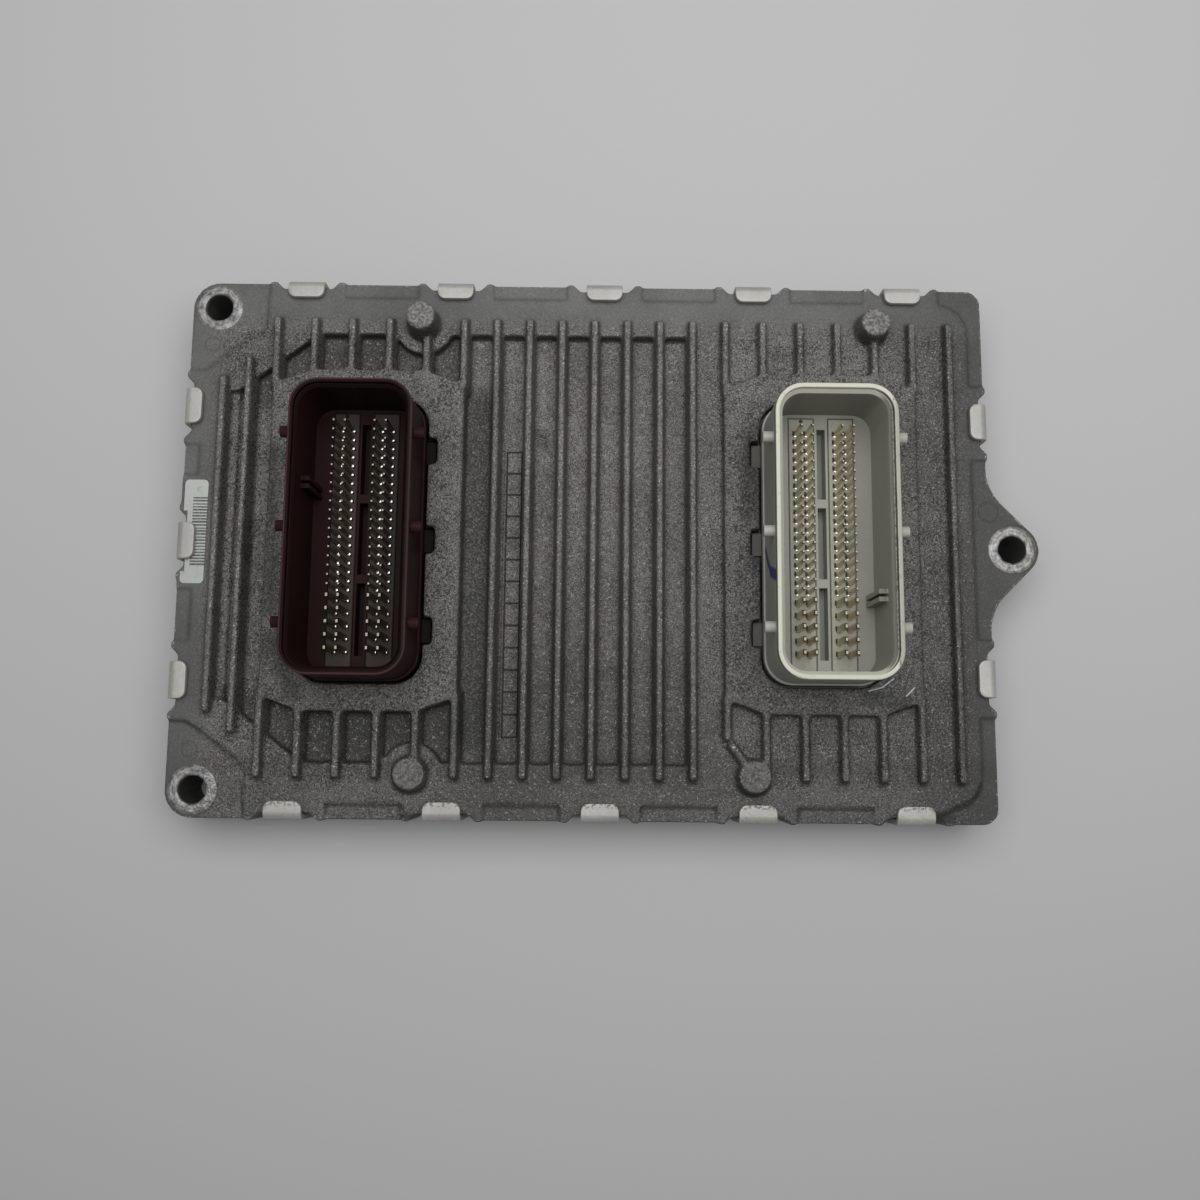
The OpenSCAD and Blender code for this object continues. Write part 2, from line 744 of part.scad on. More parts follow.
// Moulded socket with its floor, coding key, locking pegs and foot
module shroud(key_side, key_y) {
    inner_r = shroud_r - shroud_wall;
    rim_r = shroud_r - rim_wall;
    foot_lip = 0.8;
    key_sink = 0.3;
    key_start = key_side > 0 ? -key_out - key_sink : -key_sink;
    carrier_window = [carrier_w + 2 * carrier_fit, carrier_l + 2 * carrier_fit];
    difference() {
        union() {
            translate([0, 0, board_top]) linear_extrude(rim_z - board_top)
                polygon(slab(socket_w, socket_l, shroud_r));
            translate([0, 0, board_top]) linear_extrude(top_z + foot_lip - board_top)
                polygon(slab(socket_w + 2 * foot_step, socket_l + 2 * foot_step, shroud_r));
            translate([0, 0, gasket_z - shroud_flange_t])
                linear_extrude(top_z - lug_drop - gasket_z + shroud_flange_t) foot_2d(0);
            translate([0, 0, gasket_z - shroud_flange_t]) linear_extrude(shroud_flange_t)
                polygon(shroud_flange_points(0));
            for (i = [-1:1]) translate([0, i * peg_pitch, rim_z - peg_drop]) rotate([0, 90, 0])
                cylinder(h = socket_w + 2 * peg_l, d = peg_d, center = true);
        }
        translate([0, 0, floor_z]) linear_extrude(rim_h) polygon(slab(inner_w, inner_l, inner_r));
        translate([0, 0, rim_z - rim_depth]) linear_extrude(rim_depth + past)
            polygon(slab(socket_w - 2 * rim_wall, socket_l - 2 * rim_wall, rim_r));
        translate([0, 0, board_top - past]) linear_extrude(floor_z - floor_t - board_top + past)
            polygon(slab(inner_w, inner_l, inner_r));
        for (s = [-1, 1]) translate([s * carrier_pitch / 2, 0, floor_z - floor_t - past])
            linear_extrude(floor_t + 2 * past) square(carrier_window, center = true);
        for (i = [-1:1]) translate([0, i * slot_pitch, floor_z - floor_t + slot_skin])
            linear_extrude(floor_t) square([slot_w, slot_l], center = true);
    }
    translate([key_side * (inner_w / 2 + key_sink) + key_start, key_y - key_w / 2, floor_z - key_sink])
        for (i = [-1, 1]) translate([0, i * key_pitch / 2, 0])
            cube([key_out + 2 * key_sink, key_w, key_h + key_sink]);
}

module connector_shroud_a() {
    color([0.30, 0.15, 0.15]) translate([socket_a.x, socket_a.y, 0]) shroud(-1, key_y_a);
}

module connector_shroud_b() {
    color([0.72, 0.72, 0.67]) translate([socket_b.x, socket_b.y, 0]) shroud(1, key_y_b);
}

// Moulded carriers that hold two columns of pins each
module carriers() {
    difference() {
        translate([0, 0, floor_z - floor_t]) linear_extrude(floor_t) for (s = [-1, 1])
            translate([s * carrier_pitch / 2, 0]) square([carrier_w, carrier_l], center = true);
        translate([0, 0, floor_z - floor_t - past]) linear_extrude(floor_t + 2 * past) for (x = column_x) {
            for (y = fine_y) translate([x, y]) square(fine_w + 2 * pin_fit, center = true);
            for (y = wide_y) translate([x, y])
                square([wide_w + 2 * pin_fit, wide_l + 2 * pin_fit], center = true);
        }
        translate([-carrier_pitch / 2, (row_span + carrier_l) / 4, floor_z - dot_deep])
            cylinder(h = dot_deep + past, d = dot_d);
    }
}

module contact_carriers_a() {
    color([0.26, 0.14, 0.14]) translate([socket_a.x, socket_a.y, 0]) carriers();
}

module contact_carriers_b() {
    color([0.62, 0.63, 0.59]) translate([socket_b.x, socket_b.y, 0]) carriers();
}

// Side view of one pin of width w with a tapered tip
function pin_side(w) = let (low = board_z - pin_tail, tip = floor_z + pin_h, taper = 0.6)
    [[-w / 2, low], [w / 2, low], [w / 2, tip - taper], [w / 4, tip], [-w / 4, tip], [-w / 2, tip - taper]];

// Field of pins where columns of width w cross rows of length l
module pin_field(rows, w, l) {
    intersection() {
        rotate([90, 0, 0]) linear_extrude(2 * socket_l, center = true)
            for (x = column_x) translate([x, 0]) polygon(pin_side(w));
        rotate([90, 0, 90]) linear_extrude(2 * socket_w, center = true)
            for (y = rows) translate([y, 0]) polygon(pin_side(l));
    }
}

module signal_pins_a() {
    color([0.80, 0.70, 0.48]) translate([socket_a.x, socket_a.y, 0]) pin_field(fine_y, fine_w, fine_w);
}

module signal_pins_b() {
    color([0.80, 0.70, 0.48]) translate([socket_b.x, socket_b.y, 0]) pin_field(fine_y, fine_w, fine_w);
}

module power_pins_a() {
    color([0.82, 0.74, 0.55]) translate([socket_a.x, socket_a.y, 0]) pin_field(wide_y, wide_w, wide_l);
}

module power_pins_b() {
    color([0.82, 0.74, 0.55]) translate([socket_b.x, socket_b.y, 0]) pin_field(wide_y, wide_w, wide_l);
}

// Gasket between a socket's flange and the roof of its plateau
module socket_gasket() {
    translate([0, 0, gasket_z]) linear_extrude(gasket_h) difference() {
        polygon(shroud_flange_points(0));
        foot_2d(window_gap);
    }
}

module connector_seal_a() {
    color([0.10, 0.10, 0.10]) translate([socket_a.x, socket_a.y, 0]) socket_gasket();
}

module connector_seal_b() {
    color([0.10, 0.10, 0.10]) translate([socket_b.x, socket_b.y, 0]) socket_gasket();
}

// Circuit board with holes for pins and screws
module circuit_board() {
    fine_hole = fine_w * sqrt(2) + 2 * pin_fit;
    wide_hole = sqrt(wide_w * wide_w + wide_l * wide_l) + 2 * pin_fit;
    color([0.10, 0.30, 0.18]) translate([0, 0, board_z]) linear_extrude(board_t) difference() {
        polygon(inside(-board_gap));
        for (socket = [socket_a, socket_b], x = column_x) {
            for (y = fine_y) translate([socket.x + x, socket.y + y]) circle(d = fine_hole);
            for (y = wide_y) translate([socket.x + x, socket.y + y]) circle(d = wide_hole);
        }
        for (p = boss_at) translate(p) circle(d = screw_d + 2 * screw_fit);
    }
}

// Pan-head screws through the board into the bosses
module board_screws() {
    reach = low_roof - board_top - 2 * past;
    color([0.6, 0.6, 0.6]) for (p = boss_at) translate([p.x, p.y, 0]) {
        translate([0, 0, board_z - screw_head_h]) cylinder(h = screw_head_h, d = screw_head_d);
        translate([0, 0, board_z - sink]) cylinder(h = board_t + reach + sink, d = screw_d);
    }
}

// Flat chip package of width, length and height size, with sloping sides
module chip(size) {
    slope = 0.3;
    w = size.x / 2;
    l = size.y / 2;
    translate([0, 0, board_top]) intersection() {
        rotate([90, 0, 0]) linear_extrude(size.y, center = true)
            polygon([[-w, 0], [w, 0], [w - slope, size.z], [-w + slope, size.z]]);
        rotate([90, 0, 90]) linear_extrude(size.x, center = true)
            polygon([[-l, 0], [l, 0], [l - slope, size.z], [-l + slope, size.z]]);
    }
}

module microcontroller() {
    color([0.09, 0.09, 0.10]) translate(mcu_at) chip([mcu_w, mcu_w, mcu_h]);
}

module memory_chip() {
    color([0.11, 0.11, 0.11]) translate(memory_at) chip(memory_size);
}

module driver_chips() {
    color([0.10, 0.10, 0.11]) for (p = driver_at) translate(p) chip([driver_w, driver_w, driver_h]);
}

module power_transistors() {
    color([0.13, 0.13, 0.13]) for (i = [-2:2])
        translate([socket_mid + i * transistor_pitch, transistor_y]) chip(transistor_size);
}

module crystal() {
    color([0.7, 0.7, 0.68]) translate(crystal_at) chip(crystal_size);
}

module pressure_sensor() {
    color([0.75, 0.75, 0.7]) translate(sensor_at) chip(sensor_size);
}

// Round cans on square feet, beside both ends of the right socket
module smoothing_capacitors() {
    color([0.65, 0.66, 0.68]) for (p = cap_at) translate([p.x, p.y, board_top]) {
        cylinder(h = cap_h, d = cap_d - cap_waist);
        translate([-cap_d / 2, -cap_d / 2, 0]) cube([cap_d, cap_d, cap_foot]);
    }
}

// Three rows of small ceramic blocks
module chip_capacitors() {
    color([0.62, 0.52, 0.40]) for (i = [-3.5:3.5], j = [0:2])
        translate([socket_mid + i * chip_cap_pitch.x, chip_cap_y + j * chip_cap_pitch.y, board_top])
            translate([-chip_cap_size.x / 2, -chip_cap_size.y / 2, 0]) cube(chip_cap_size);
}

module inductors() {
    x = -cavity_x + board_gap + inductor_w / 2 + inductor_in;
    color([0.22, 0.22, 0.23]) for (s = [-1, 1])
        translate([x, s * inductor_y]) chip([inductor_w, inductor_w, inductor_h]);
}

// Soft pads that carry heat from the driver chips to the roof
module thermal_pads() {
    base = board_top + driver_h;
    color([0.55, 0.62, 0.70]) for (p = driver_at) translate([p.x, p.y, base])
        linear_extrude(low_roof - base) square(driver_w - 2 * pad_inset, center = true);
}

housing();
base_plate();
perimeter_seal();
bar_label();
connector_shroud_a();
connector_shroud_b();
contact_carriers_a();
contact_carriers_b();
signal_pins_a();
signal_pins_b();
power_pins_a();
power_pins_b();
connector_seal_a();
connector_seal_b();
circuit_board();
board_screws();
microcontroller();
memory_chip();
driver_chips();
power_transistors();
crystal();
pressure_sensor();
smoothing_capacitors();
chip_capacitors();
inductors();
thermal_pads();
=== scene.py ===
"""Looks of the engine control unit: cast housing, crimped cover, two plug sockets, pins, label and board."""

import math

import bmesh
import bpy
import numpy as np
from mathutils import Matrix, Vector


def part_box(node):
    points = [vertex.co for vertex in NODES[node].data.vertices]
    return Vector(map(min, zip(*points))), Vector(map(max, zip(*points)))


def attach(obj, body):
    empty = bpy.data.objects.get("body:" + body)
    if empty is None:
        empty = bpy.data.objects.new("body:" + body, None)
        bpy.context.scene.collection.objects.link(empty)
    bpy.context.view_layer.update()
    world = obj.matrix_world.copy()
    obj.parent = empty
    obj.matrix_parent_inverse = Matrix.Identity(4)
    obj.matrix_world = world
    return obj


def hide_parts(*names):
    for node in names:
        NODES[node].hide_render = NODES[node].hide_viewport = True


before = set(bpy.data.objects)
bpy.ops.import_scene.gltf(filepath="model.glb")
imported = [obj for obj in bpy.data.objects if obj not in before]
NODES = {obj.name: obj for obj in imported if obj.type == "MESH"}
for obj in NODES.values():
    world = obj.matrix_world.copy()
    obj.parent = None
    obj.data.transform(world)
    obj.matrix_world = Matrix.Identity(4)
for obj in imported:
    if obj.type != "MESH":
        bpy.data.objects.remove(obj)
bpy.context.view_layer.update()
MM = 0.001

bl_info = {
    "name": "Engine control unit",
    "version": (1, 0, 0),
    "blender": (4, 5, 0),
    "location": "View3D > Sidebar > Control unit",
    "description": "Dresses the packed parts of an engine control unit with cast, moulded and plated finishes",
    "category": "Object",
}

# Places on the casting and in the sockets, in millimetres
HOLES = [(-76.25, 49.25), (-76.25, -49.25), (86.35, 0.0)]
POSTS = [(-33.68, 45.75), (58.63, 45.75), (-33.68, -45.75), (33.58, -45.75)]
POST_RADIUS = 2.9
RING_RADIUS = 4.8
EJECTOR_MARKS = [(82.0, 7.7, 2.0), (-77.5, 41.5, 1.5), (-77.5, -41.5, 1.5)]
LADDER = {"left": -16.125, "right": -13.125, "low": -38.55, "cell": 4.47, "high": 19.56}
SOCKETS = {"a": (-44.25, 0.4), "b": (47.45, 0.4)}
SHROUD = {"half": (11.7, 28.065, 0.0), "radius": 5.5}
LIP_INNER = SHROUD["half"][0] - 1.0
CARRIER = {"offset": 4.0, "half": (2.55, 25.665, 0.0), "hole_y": 25.5, "hole_radius": 0.38}
PIN_COLUMNS = (-5.1, -2.9, 2.9, 5.1)
SLIM_ROWS = {"high": 22.365, "step": 1.8, "count": 19}
WIDE_ROWS = {"high": -12.205, "step": 2.54, "count": 5}
COLLAR = {"across": {"a": 0.3, "b": -0.05}, "below": 0.32, "flatness": 0.3, "turns": 8, "rows": 5}
# Painted shade of the wells beside the pins: offset to the side, distance below the pin and length
WELLS = {"a": {"side": 0.62, "below": 0.8, "length": 0.6}, "b": {"side": -0.44, "below": 0.25, "length": 0.95}}
LABEL_FIELD = {"left": -79.2, "high": 9.2, "low": -5.2}

# Heights between which a look comes in, in millimetres: none at the first, all at the second
LEVELS = {
    "brown": (14.5, 13.0), "pocket_shade": (13.2, 12.4), "post_head": (16.3, 16.7), "ring": (13.5, 13.62),
    "ladder": (12.6, 12.3), "low_dirt_and_shade": (16.2, 15.6), "tab_leg_shade": (14.6, 13.9), "tab": (13.5, 14.0),
    "deep_shade": (30.6, 28.0), "back_wall_shade": (30.5, 30.1), "key": (25.0, 26.0), "key_top": (29.4, 28.6),
    "rim": (29.5, 29.9), "lip": (30.9, 31.3), "ledge": (29.9, 30.2), "mouth": (30.0, 30.5),
    "corner": (29.5, 28.5), "flange": (16.0, 15.0), "well": (15.9, 16.1),
}

# Marks that the unit has picked up: start, end, half width, softness and raggedness, in millimetres
STAINS = [
    ((-21.6, 30), (-22.0, -38), 2.8, 1.8, 2.0),
    ((-9.0, 23.5), (-8.2, 21.5), 1.0, 0.9, 1.6),
    ((-63.0, 18), (-62.0, -14), 1.2, 1.4, 2.6),
    ((-61.0, -20), (-57.0, -30), 1.6, 1.5, 2.6),
    ((33.0, 22), (32.6, 6), 1.4, 1.5, 2.4),
    ((56.5, -30), (62.0, -31), 1.6, 1.4, 2.2),
]
CORNER_STEP = [(-81.6, -35.95), (-78.3, -36.1), (-76.3, -37.0), (-72.2, -39.9), (-67.8, -43.1)]
BREAKS = [
    ((69.0, -52.8), (72.4, -53.6), 0.9, 0.3, 0.8),
    ((-35.0, -54.0), (-31.5, -54.0), 0.5, 0.3, 1.0),
    ((78.2, -46.7), (77.0, -49.4), 0.35, 0.25, 0.5),
    ((77.0, -49.4), (73.0, -51.3), 0.35, 0.25, 0.5),
]
SCRATCHES = [
    ((56.0, -28.9), (58.6, -28.2), 0.11, 0.07, 0.3),
    ((58.6, -28.2), (61.0, -26.4), 0.12, 0.07, 0.3),
    ((63.4, -29.8), (65.0, -28.2), 0.14, 0.07, 0.3),
]
INK_DROP = ((33.9, -3.2), (33.9, -4.8), 0.45, 0.3, 1.0)
MARKER_STROKES = [
    ((0, -1.4, 18.3), (0, -4.3, 21.0), 0.75, 0.15, 0.3),
    ((0, -4.3, 21.0), (0, -6.8, 24.5), 0.7, 0.15, 0.3),
    ((0, -6.6, 24.0), (0, -8.2, 30.0), 1.1, 0.3, 0.6),
]
FROM_ABOVE = (1, 1, 0)
FROM_THE_SIDE = (0, 1, 1)


class CastingSettings(bpy.types.PropertyGroup):
    """Sizes and colours of the die-cast housing"""

    grain: bpy.props.FloatProperty(
        name="Skin grain", description="Cell size of the skin that rounds the casting's edges",
        default=0.3 * MM, min=0.2 * MM, max=1.0 * MM, unit="LENGTH")
    fillet_passes: bpy.props.IntProperty(
        name="Fillet passes", description="Rounds of smoothing that make the cast fillets",
        default=7, min=0, max=20)
    crest_passes: bpy.props.IntProperty(
        name="Crest passes", description="Further rounds that soften the fins and ribs",
        default=18, min=0, max=40)
    triangles: bpy.props.IntProperty(
        name="Triangles", description="Most triangles kept in the skin",
        default=190000, min=20000, max=199000)
    border: bpy.props.FloatVectorProperty(
        name="Border", description="Tone of the smooth border", default=(0.105, 0.104, 0.100),
        subtype="COLOR", min=0, max=1)
    core: bpy.props.FloatVectorProperty(
        name="Core", description="Tone of the rough middle", default=(0.116, 0.113, 0.106),
        subtype="COLOR", min=0, max=1)
    dark: bpy.props.FloatVectorProperty(
        name="Dark speckle", description="Colour of the dark pits", default=(0.022, 0.022, 0.021),
        subtype="COLOR", min=0, max=1)
    light: bpy.props.FloatVectorProperty(
        name="Bright speckle", description="Colour of the bright grains", default=(0.30, 0.295, 0.28),
        subtype="COLOR", min=0, max=1)
    machined: bpy.props.FloatVectorProperty(
        name="Machined rings", description="Colour of the faced rings round the holes",
        default=(0.37, 0.365, 0.345),
        subtype="COLOR", min=0, max=1)
    brown: bpy.props.FloatVectorProperty(
        name="Brown bloom", description="Colour of the brownish patches on the floor",
        default=(0.128, 0.106, 0.096),
        subtype="COLOR", min=0, max=1)
    glint: bpy.props.FloatVectorProperty(
        name="Crest glints", description="Colour of bright grains on the crests",
        default=(0.62, 0.61, 0.58),
        subtype="COLOR", min=0, max=1)
    scratch: bpy.props.FloatVectorProperty(
        name="Scratches", description="Colour of fresh scratches", default=(0.55, 0.55, 0.53),
        subtype="COLOR", min=0, max=1)
    ink_drop: bpy.props.FloatVectorProperty(
        name="Ink drop", description="Colour of the marker's drop on the casting",
        default=(0.02, 0.022, 0.05),
        subtype="COLOR", min=0, max=1)


class CoverSettings(bpy.types.PropertyGroup):
    """Sizes and colours of the crimped sheet cover"""

    edge_radius: bpy.props.FloatProperty(
        name="Edge radius", description="Radius of the sheet's edges", default=0.16 * MM,
        min=0.02 * MM, max=0.4 * MM, unit="LENGTH")
    corner_radius: bpy.props.FloatProperty(
        name="Corner radius", description="Radius of the tabs' corners", default=0.6 * MM,
        min=0.1 * MM, max=0.8 * MM, unit="LENGTH")
    tone: bpy.props.FloatVectorProperty(
        name="Plating", description="Colour of the plated sheet", default=(0.40, 0.39, 0.36),
        subtype="COLOR", min=0, max=1)
    worn: bpy.props.FloatVectorProperty(
        name="Worn plating", description="Colour where the plating has chipped",
        default=(0.10, 0.095, 0.085),
        subtype="COLOR", min=0, max=1)


class SocketSettings(bpy.types.PropertyGroup):
    """Sizes and colours of the two plug sockets"""

    edge_radius: bpy.props.FloatProperty(
        name="Edge radius", description="Radius of the moulded edges", default=0.12 * MM,
        min=0.02 * MM, max=0.3 * MM, unit="LENGTH")
    rim_radius: bpy.props.FloatProperty(
        name="Rim radius", description="Radius of the sockets' rims", default=0.2 * MM,
        min=0.05 * MM, max=0.4 * MM, unit="LENGTH")
    lead_in: bpy.props.FloatProperty(
        name="Lead-in", description="Chamfer that guides a plug inside the rims", default=0.6 * MM,
        min=0.1 * MM, max=0.65 * MM, unit="LENGTH")
    dark_red: bpy.props.FloatVectorProperty(
        name="Dark red", description="Colour of the left socket", default=(0.030, 0.0125, 0.0120),
        subtype="COLOR", min=0, max=1)
    pale: bpy.props.FloatVectorProperty(
        name="Pale", description="Colour of the right socket", default=(0.40, 0.40, 0.35),
        subtype="COLOR", min=0, max=1)
    dark_red_lip: bpy.props.FloatVectorProperty(
        name="Dark red lip", description="Colour of the left socket's worn outer edge",
        default=(0.064, 0.030, 0.027),
        subtype="COLOR", min=0, max=1)
    pale_lip: bpy.props.FloatVectorProperty(
        name="Pale lip", description="Colour of the right socket's clean rim", default=(0.56, 0.55, 0.46),
        subtype="COLOR", min=0, max=1)
    ink: bpy.props.FloatVectorProperty(
        name="Marker ink", description="Colour of the felt marker's stroke", default=(0.012, 0.018, 0.13),
        subtype="COLOR", min=0, max=1)
    dark_carrier: bpy.props.FloatVectorProperty(
        name="Dark carriers", description="Colour of the left pin carriers", default=(0.056, 0.042, 0.036),
        subtype="COLOR", min=0, max=1)
    pale_carrier: bpy.props.FloatVectorProperty(
        name="Pale carriers", description="Colour of the right pin carriers", default=(0.38, 0.37, 0.31),
        subtype="COLOR", min=0, max=1)
    dark_dirt_and_shade: bpy.props.FloatVectorProperty(
        name="Dark dirt", description="Colour of dirt on the left socket", default=(0.020, 0.017, 0.016),
        subtype="COLOR", min=0, max=1)
    pale_dirt_and_shade: bpy.props.FloatVectorProperty(
        name="Pale dirt", description="Colour of dirt on the right socket", default=(0.09, 0.08, 0.06),
        subtype="COLOR", min=0, max=1)


class PinSettings(bpy.types.PropertyGroup):
    """Colours and collars of the contact pins"""

    collar: bpy.props.FloatProperty(
        name="Collar radius", description="Radius of the bright shoulder at a pin's foot",
        default=0.38 * MM,
        min=0.2 * MM, max=0.6 * MM, unit="LENGTH")
    shaft: bpy.props.FloatVectorProperty(
        name="Shaft", description="Colour of the plated shafts", default=(0.86, 0.77, 0.58),
        subtype="COLOR", min=0, max=1)
    tip: bpy.props.FloatVectorProperty(
        name="Tip", description="Colour of the dulled tips", default=(0.20, 0.185, 0.15),
        subtype="COLOR", min=0, max=1)
    foot: bpy.props.FloatVectorProperty(
        name="Foot", description="Colour of the bright shoulders", default=(0.95, 0.93, 0.86),
        subtype="COLOR", min=0, max=1)


class LabelSettings(bpy.types.PropertyGroup):
    """Colours and bars of the label"""

    paper: bpy.props.FloatVectorProperty(
        name="Paper", description="Colour of the label", default=(0.40, 0.43, 0.40),
        subtype="COLOR", min=0, max=1)
    bars: bpy.props.FloatVectorProperty(
        name="Bars", description="Colour of the printed bars", default=(0.05, 0.055, 0.055),
        subtype="COLOR", min=0, max=1)
    smudge: bpy.props.FloatVectorProperty(
        name="Smudges", description="Colour of the label's smudges", default=(0.18, 0.19, 0.18),
        subtype="COLOR", min=0, max=1)
    bar_step: bpy.props.FloatProperty(
        name="Bar step", description="Pitch of the bars, in millimetres", default=0.62, min=0.2, max=2.0)


class BoardSettings(bpy.types.PropertyGroup):
    """Colours of the board and of what stands on it"""

    mask: bpy.props.FloatVectorProperty(
        name="Solder mask", description="Colour of the board", default=(0.012, 0.085, 0.035),
        subtype="COLOR", min=0, max=1)
    chip: bpy.props.FloatVectorProperty(
        name="Chip resin", description="Colour of the chips", default=(0.014, 0.014, 0.015),
        subtype="COLOR", min=0, max=1)
    rubber: bpy.props.FloatVectorProperty(
        name="Seal", description="Colour of the seals", default=(0.012, 0.012, 0.013),
        subtype="COLOR", min=0, max=1)
    zinc: bpy.props.FloatVectorProperty(
        name="Screws", description="Colour of the board screws", default=(0.55, 0.55, 0.53),
        subtype="COLOR", min=0, max=1)
    crystal_can: bpy.props.FloatVectorProperty(
        name="Crystal", description="Colour of the crystal's drawn can", default=(0.6, 0.6, 0.58),
        subtype="COLOR", min=0, max=1)
    capacitor_can: bpy.props.FloatVectorProperty(
        name="Capacitors", description="Colour of the capacitors' cans", default=(0.5, 0.51, 0.53),
        subtype="COLOR", min=0, max=1)
    sensor: bpy.props.FloatVectorProperty(
        name="Sensor", description="Colour of the pressure sensor", default=(0.5, 0.5, 0.45),
        subtype="COLOR", min=0, max=1)
    ceramic: bpy.props.FloatVectorProperty(
        name="Ceramic", description="Colour of the chip capacitors", default=(0.34, 0.22, 0.12),
        subtype="COLOR", min=0, max=1)
    ferrite: bpy.props.FloatVectorProperty(
        name="Ferrite", description="Colour of the inductors", default=(0.04, 0.04, 0.042),
        subtype="COLOR", min=0, max=1)
    pad: bpy.props.FloatVectorProperty(
        name="Thermal pads", description="Colour of the thermal pads", default=(0.26, 0.34, 0.45),
        subtype="COLOR", min=0, max=1)


class StudioSettings(bpy.types.PropertyGroup):
    """Floor, light and camera"""

    floor: bpy.props.FloatVectorProperty(
        name="Floor", description="Colour of the floor", default=(0.48, 0.48, 0.48),
        subtype="COLOR", min=0, max=1)
    key: bpy.props.FloatProperty(
        name="Key light", description="Power of the large lamp", default=2.05, min=0, unit="POWER")
    key_place: bpy.props.FloatVectorProperty(
        name="Key place", description="Place of the large lamp", default=(0.04, 0.12, 0.42), size=3,
        subtype="TRANSLATION", unit="LENGTH")
    key_size: bpy.props.FloatVectorProperty(
        name="Key size", description="Width and depth of the large lamp",
        default=(0.5, 0.44), size=2, unit="LENGTH")
    key_tilt: bpy.props.FloatProperty(
        name="Key tilt", description="Tilt of the large lamp towards the top edge",
        default=0.35, subtype="ANGLE")
    sky: bpy.props.FloatProperty(
        name="Sky", description="Strength of the even light from all round", default=0.24, min=0, max=2)
    lens: bpy.props.FloatProperty(
        name="Lens", description="Focal length of the camera, in millimetres",
        default=33.0, min=10, max=200)
    camera_place: bpy.props.FloatVectorProperty(
        name="Camera place", description="Place of the camera", default=(0.002066, -0.040482, 0.232072),
        subtype="TRANSLATION", unit="LENGTH", precision=6)
    camera_turn: bpy.props.FloatVectorProperty(
        name="Camera turn", description="Turn of the camera from straight down",
        default=(0.133756, -0.006240, 0.009536), subtype="EULER", precision=6)


class Wiring:
    """Adds and joins the shader nodes of one tree."""

    def __init__(self, tree):
        self.tree = tree

    def feed(self, socket, value):
        if isinstance(value, bpy.types.NodeSocket):
            self.tree.links.new(value, socket)
        else:
            socket.default_value = value

    def add(self, kind, inputs=None, **settings):
        node = self.tree.nodes.new(kind)
        for name, value in settings.items():
            setattr(node, name, value)
        for name, value in (inputs or {}).items():
            self.feed(node.inputs[name], value)
        return node

    def math(self, operation, a, b=None, clamp=False):
        node = self.add("ShaderNodeMath", {0: a}, operation=operation, use_clamp=clamp)
        if b is not None:
            self.feed(node.inputs[1], b)
        return node.outputs[0]

    def line(self, value, factor, offset):
        """value * factor + offset."""
        return self.add("ShaderNodeMath", {0: value, 1: factor, 2: offset}, operation="MULTIPLY_ADD").outputs[0]

    def times(self, *values):
        out = values[0]
        for value in values[1:]:
            out = self.math("MULTIPLY", out, value)
        return out

    def plus(self, a, b):
        return self.math("ADD", a, b)

    def minus(self, a, b):
        return self.math("SUBTRACT", a, b)

    def absolute(self, value):
        return self.math("ABSOLUTE", value)

    def near(self, value, middle, reach, soft):
        """1 within reach of middle, with a soft rim."""
        gap = self.absolute(self.minus(value, middle))
        return self.fade(gap, reach + soft, reach - soft)

    def vector(self, operation, a, b=None, scale=None):
        node = self.add("ShaderNodeVectorMath", {0: a}, operation=operation)
        if b is not None:
            self.feed(node.inputs[1], b)
        if scale is not None:
            self.feed(node.inputs["Scale"], scale)
        return node.outputs["Value" if operation in ("LENGTH", "DOT_PRODUCT") else "Vector"]

    def split(self, vector):
        return self.add("ShaderNodeSeparateXYZ", {0: vector}).outputs

    def place(self):
        """Object coordinates in millimetres."""
        coords = self.add("ShaderNodeTexCoord").outputs["Object"]
        return self.vector("SCALE", coords, scale=1 / MM)

    def fade(self, value, start, end):
        """0 at start, 1 at end, with a soft run between."""
        node = self.add("ShaderNodeMapRange", {"Value": value, "From Min": start, "From Max": end},
                        interpolation_type="SMOOTHSTEP")
        return node.outputs[0]

    def noise(self, place, scale, detail=3.0, rough=0.55):
        inputs = {"Vector": place, "Scale": scale, "Detail": detail, "Roughness": rough}
        return self.add("ShaderNodeTexNoise", inputs).outputs[0]

    def blend(self, amount, a, b):
        node = self.add("ShaderNodeMix", data_type="RGBA", blend_type="MIX")
        self.feed(node.inputs[0], amount)
        self.feed(node.inputs[6], colour(a))
        self.feed(node.inputs[7], colour(b))
        return node.outputs[2]

    def any_of(self, masks):
        """The strongest of several masks."""
        out = masks[0]
        for mask in masks[1:]:
            out = self.math("MAXIMUM", out, mask)
        return out

    def use(self, group, **inputs):
        node = self.add("ShaderNodeGroup", node_tree=group)
        for name, value in inputs.items():
            self.feed(node.inputs[name], value)
        return node.outputs


def colour(value):
    """Adds the alpha that a colour socket wants."""
    if isinstance(value, bpy.types.NodeSocket):
        return value
    return (*tuple(value)[:3], 1.0)


def scaled(tone, share):
    """A colour times a share."""
    return [c * share for c in tone]


def shader_group(name, inputs, outputs, build):
    """One shared effect, made once: build(wiring, inputs) gives the outputs' sockets."""
    found = bpy.data.node_groups.get(name)
    if found:
        return found
    tree = bpy.data.node_groups.new(name, "ShaderNodeTree")
    for label, kind in inputs.items():
        tree.interface.new_socket(name=label, in_out="INPUT", socket_type=kind)
    for label in outputs:
        tree.interface.new_socket(name=label, in_out="OUTPUT", socket_type="NodeSocketFloat")
    wiring = Wiring(tree)
    entry = wiring.add("NodeGroupInput").outputs
    leave = wiring.add("NodeGroupOutput")
    for label, socket in build(wiring, entry).items():
        tree.links.new(socket, leave.inputs[label])
    return tree


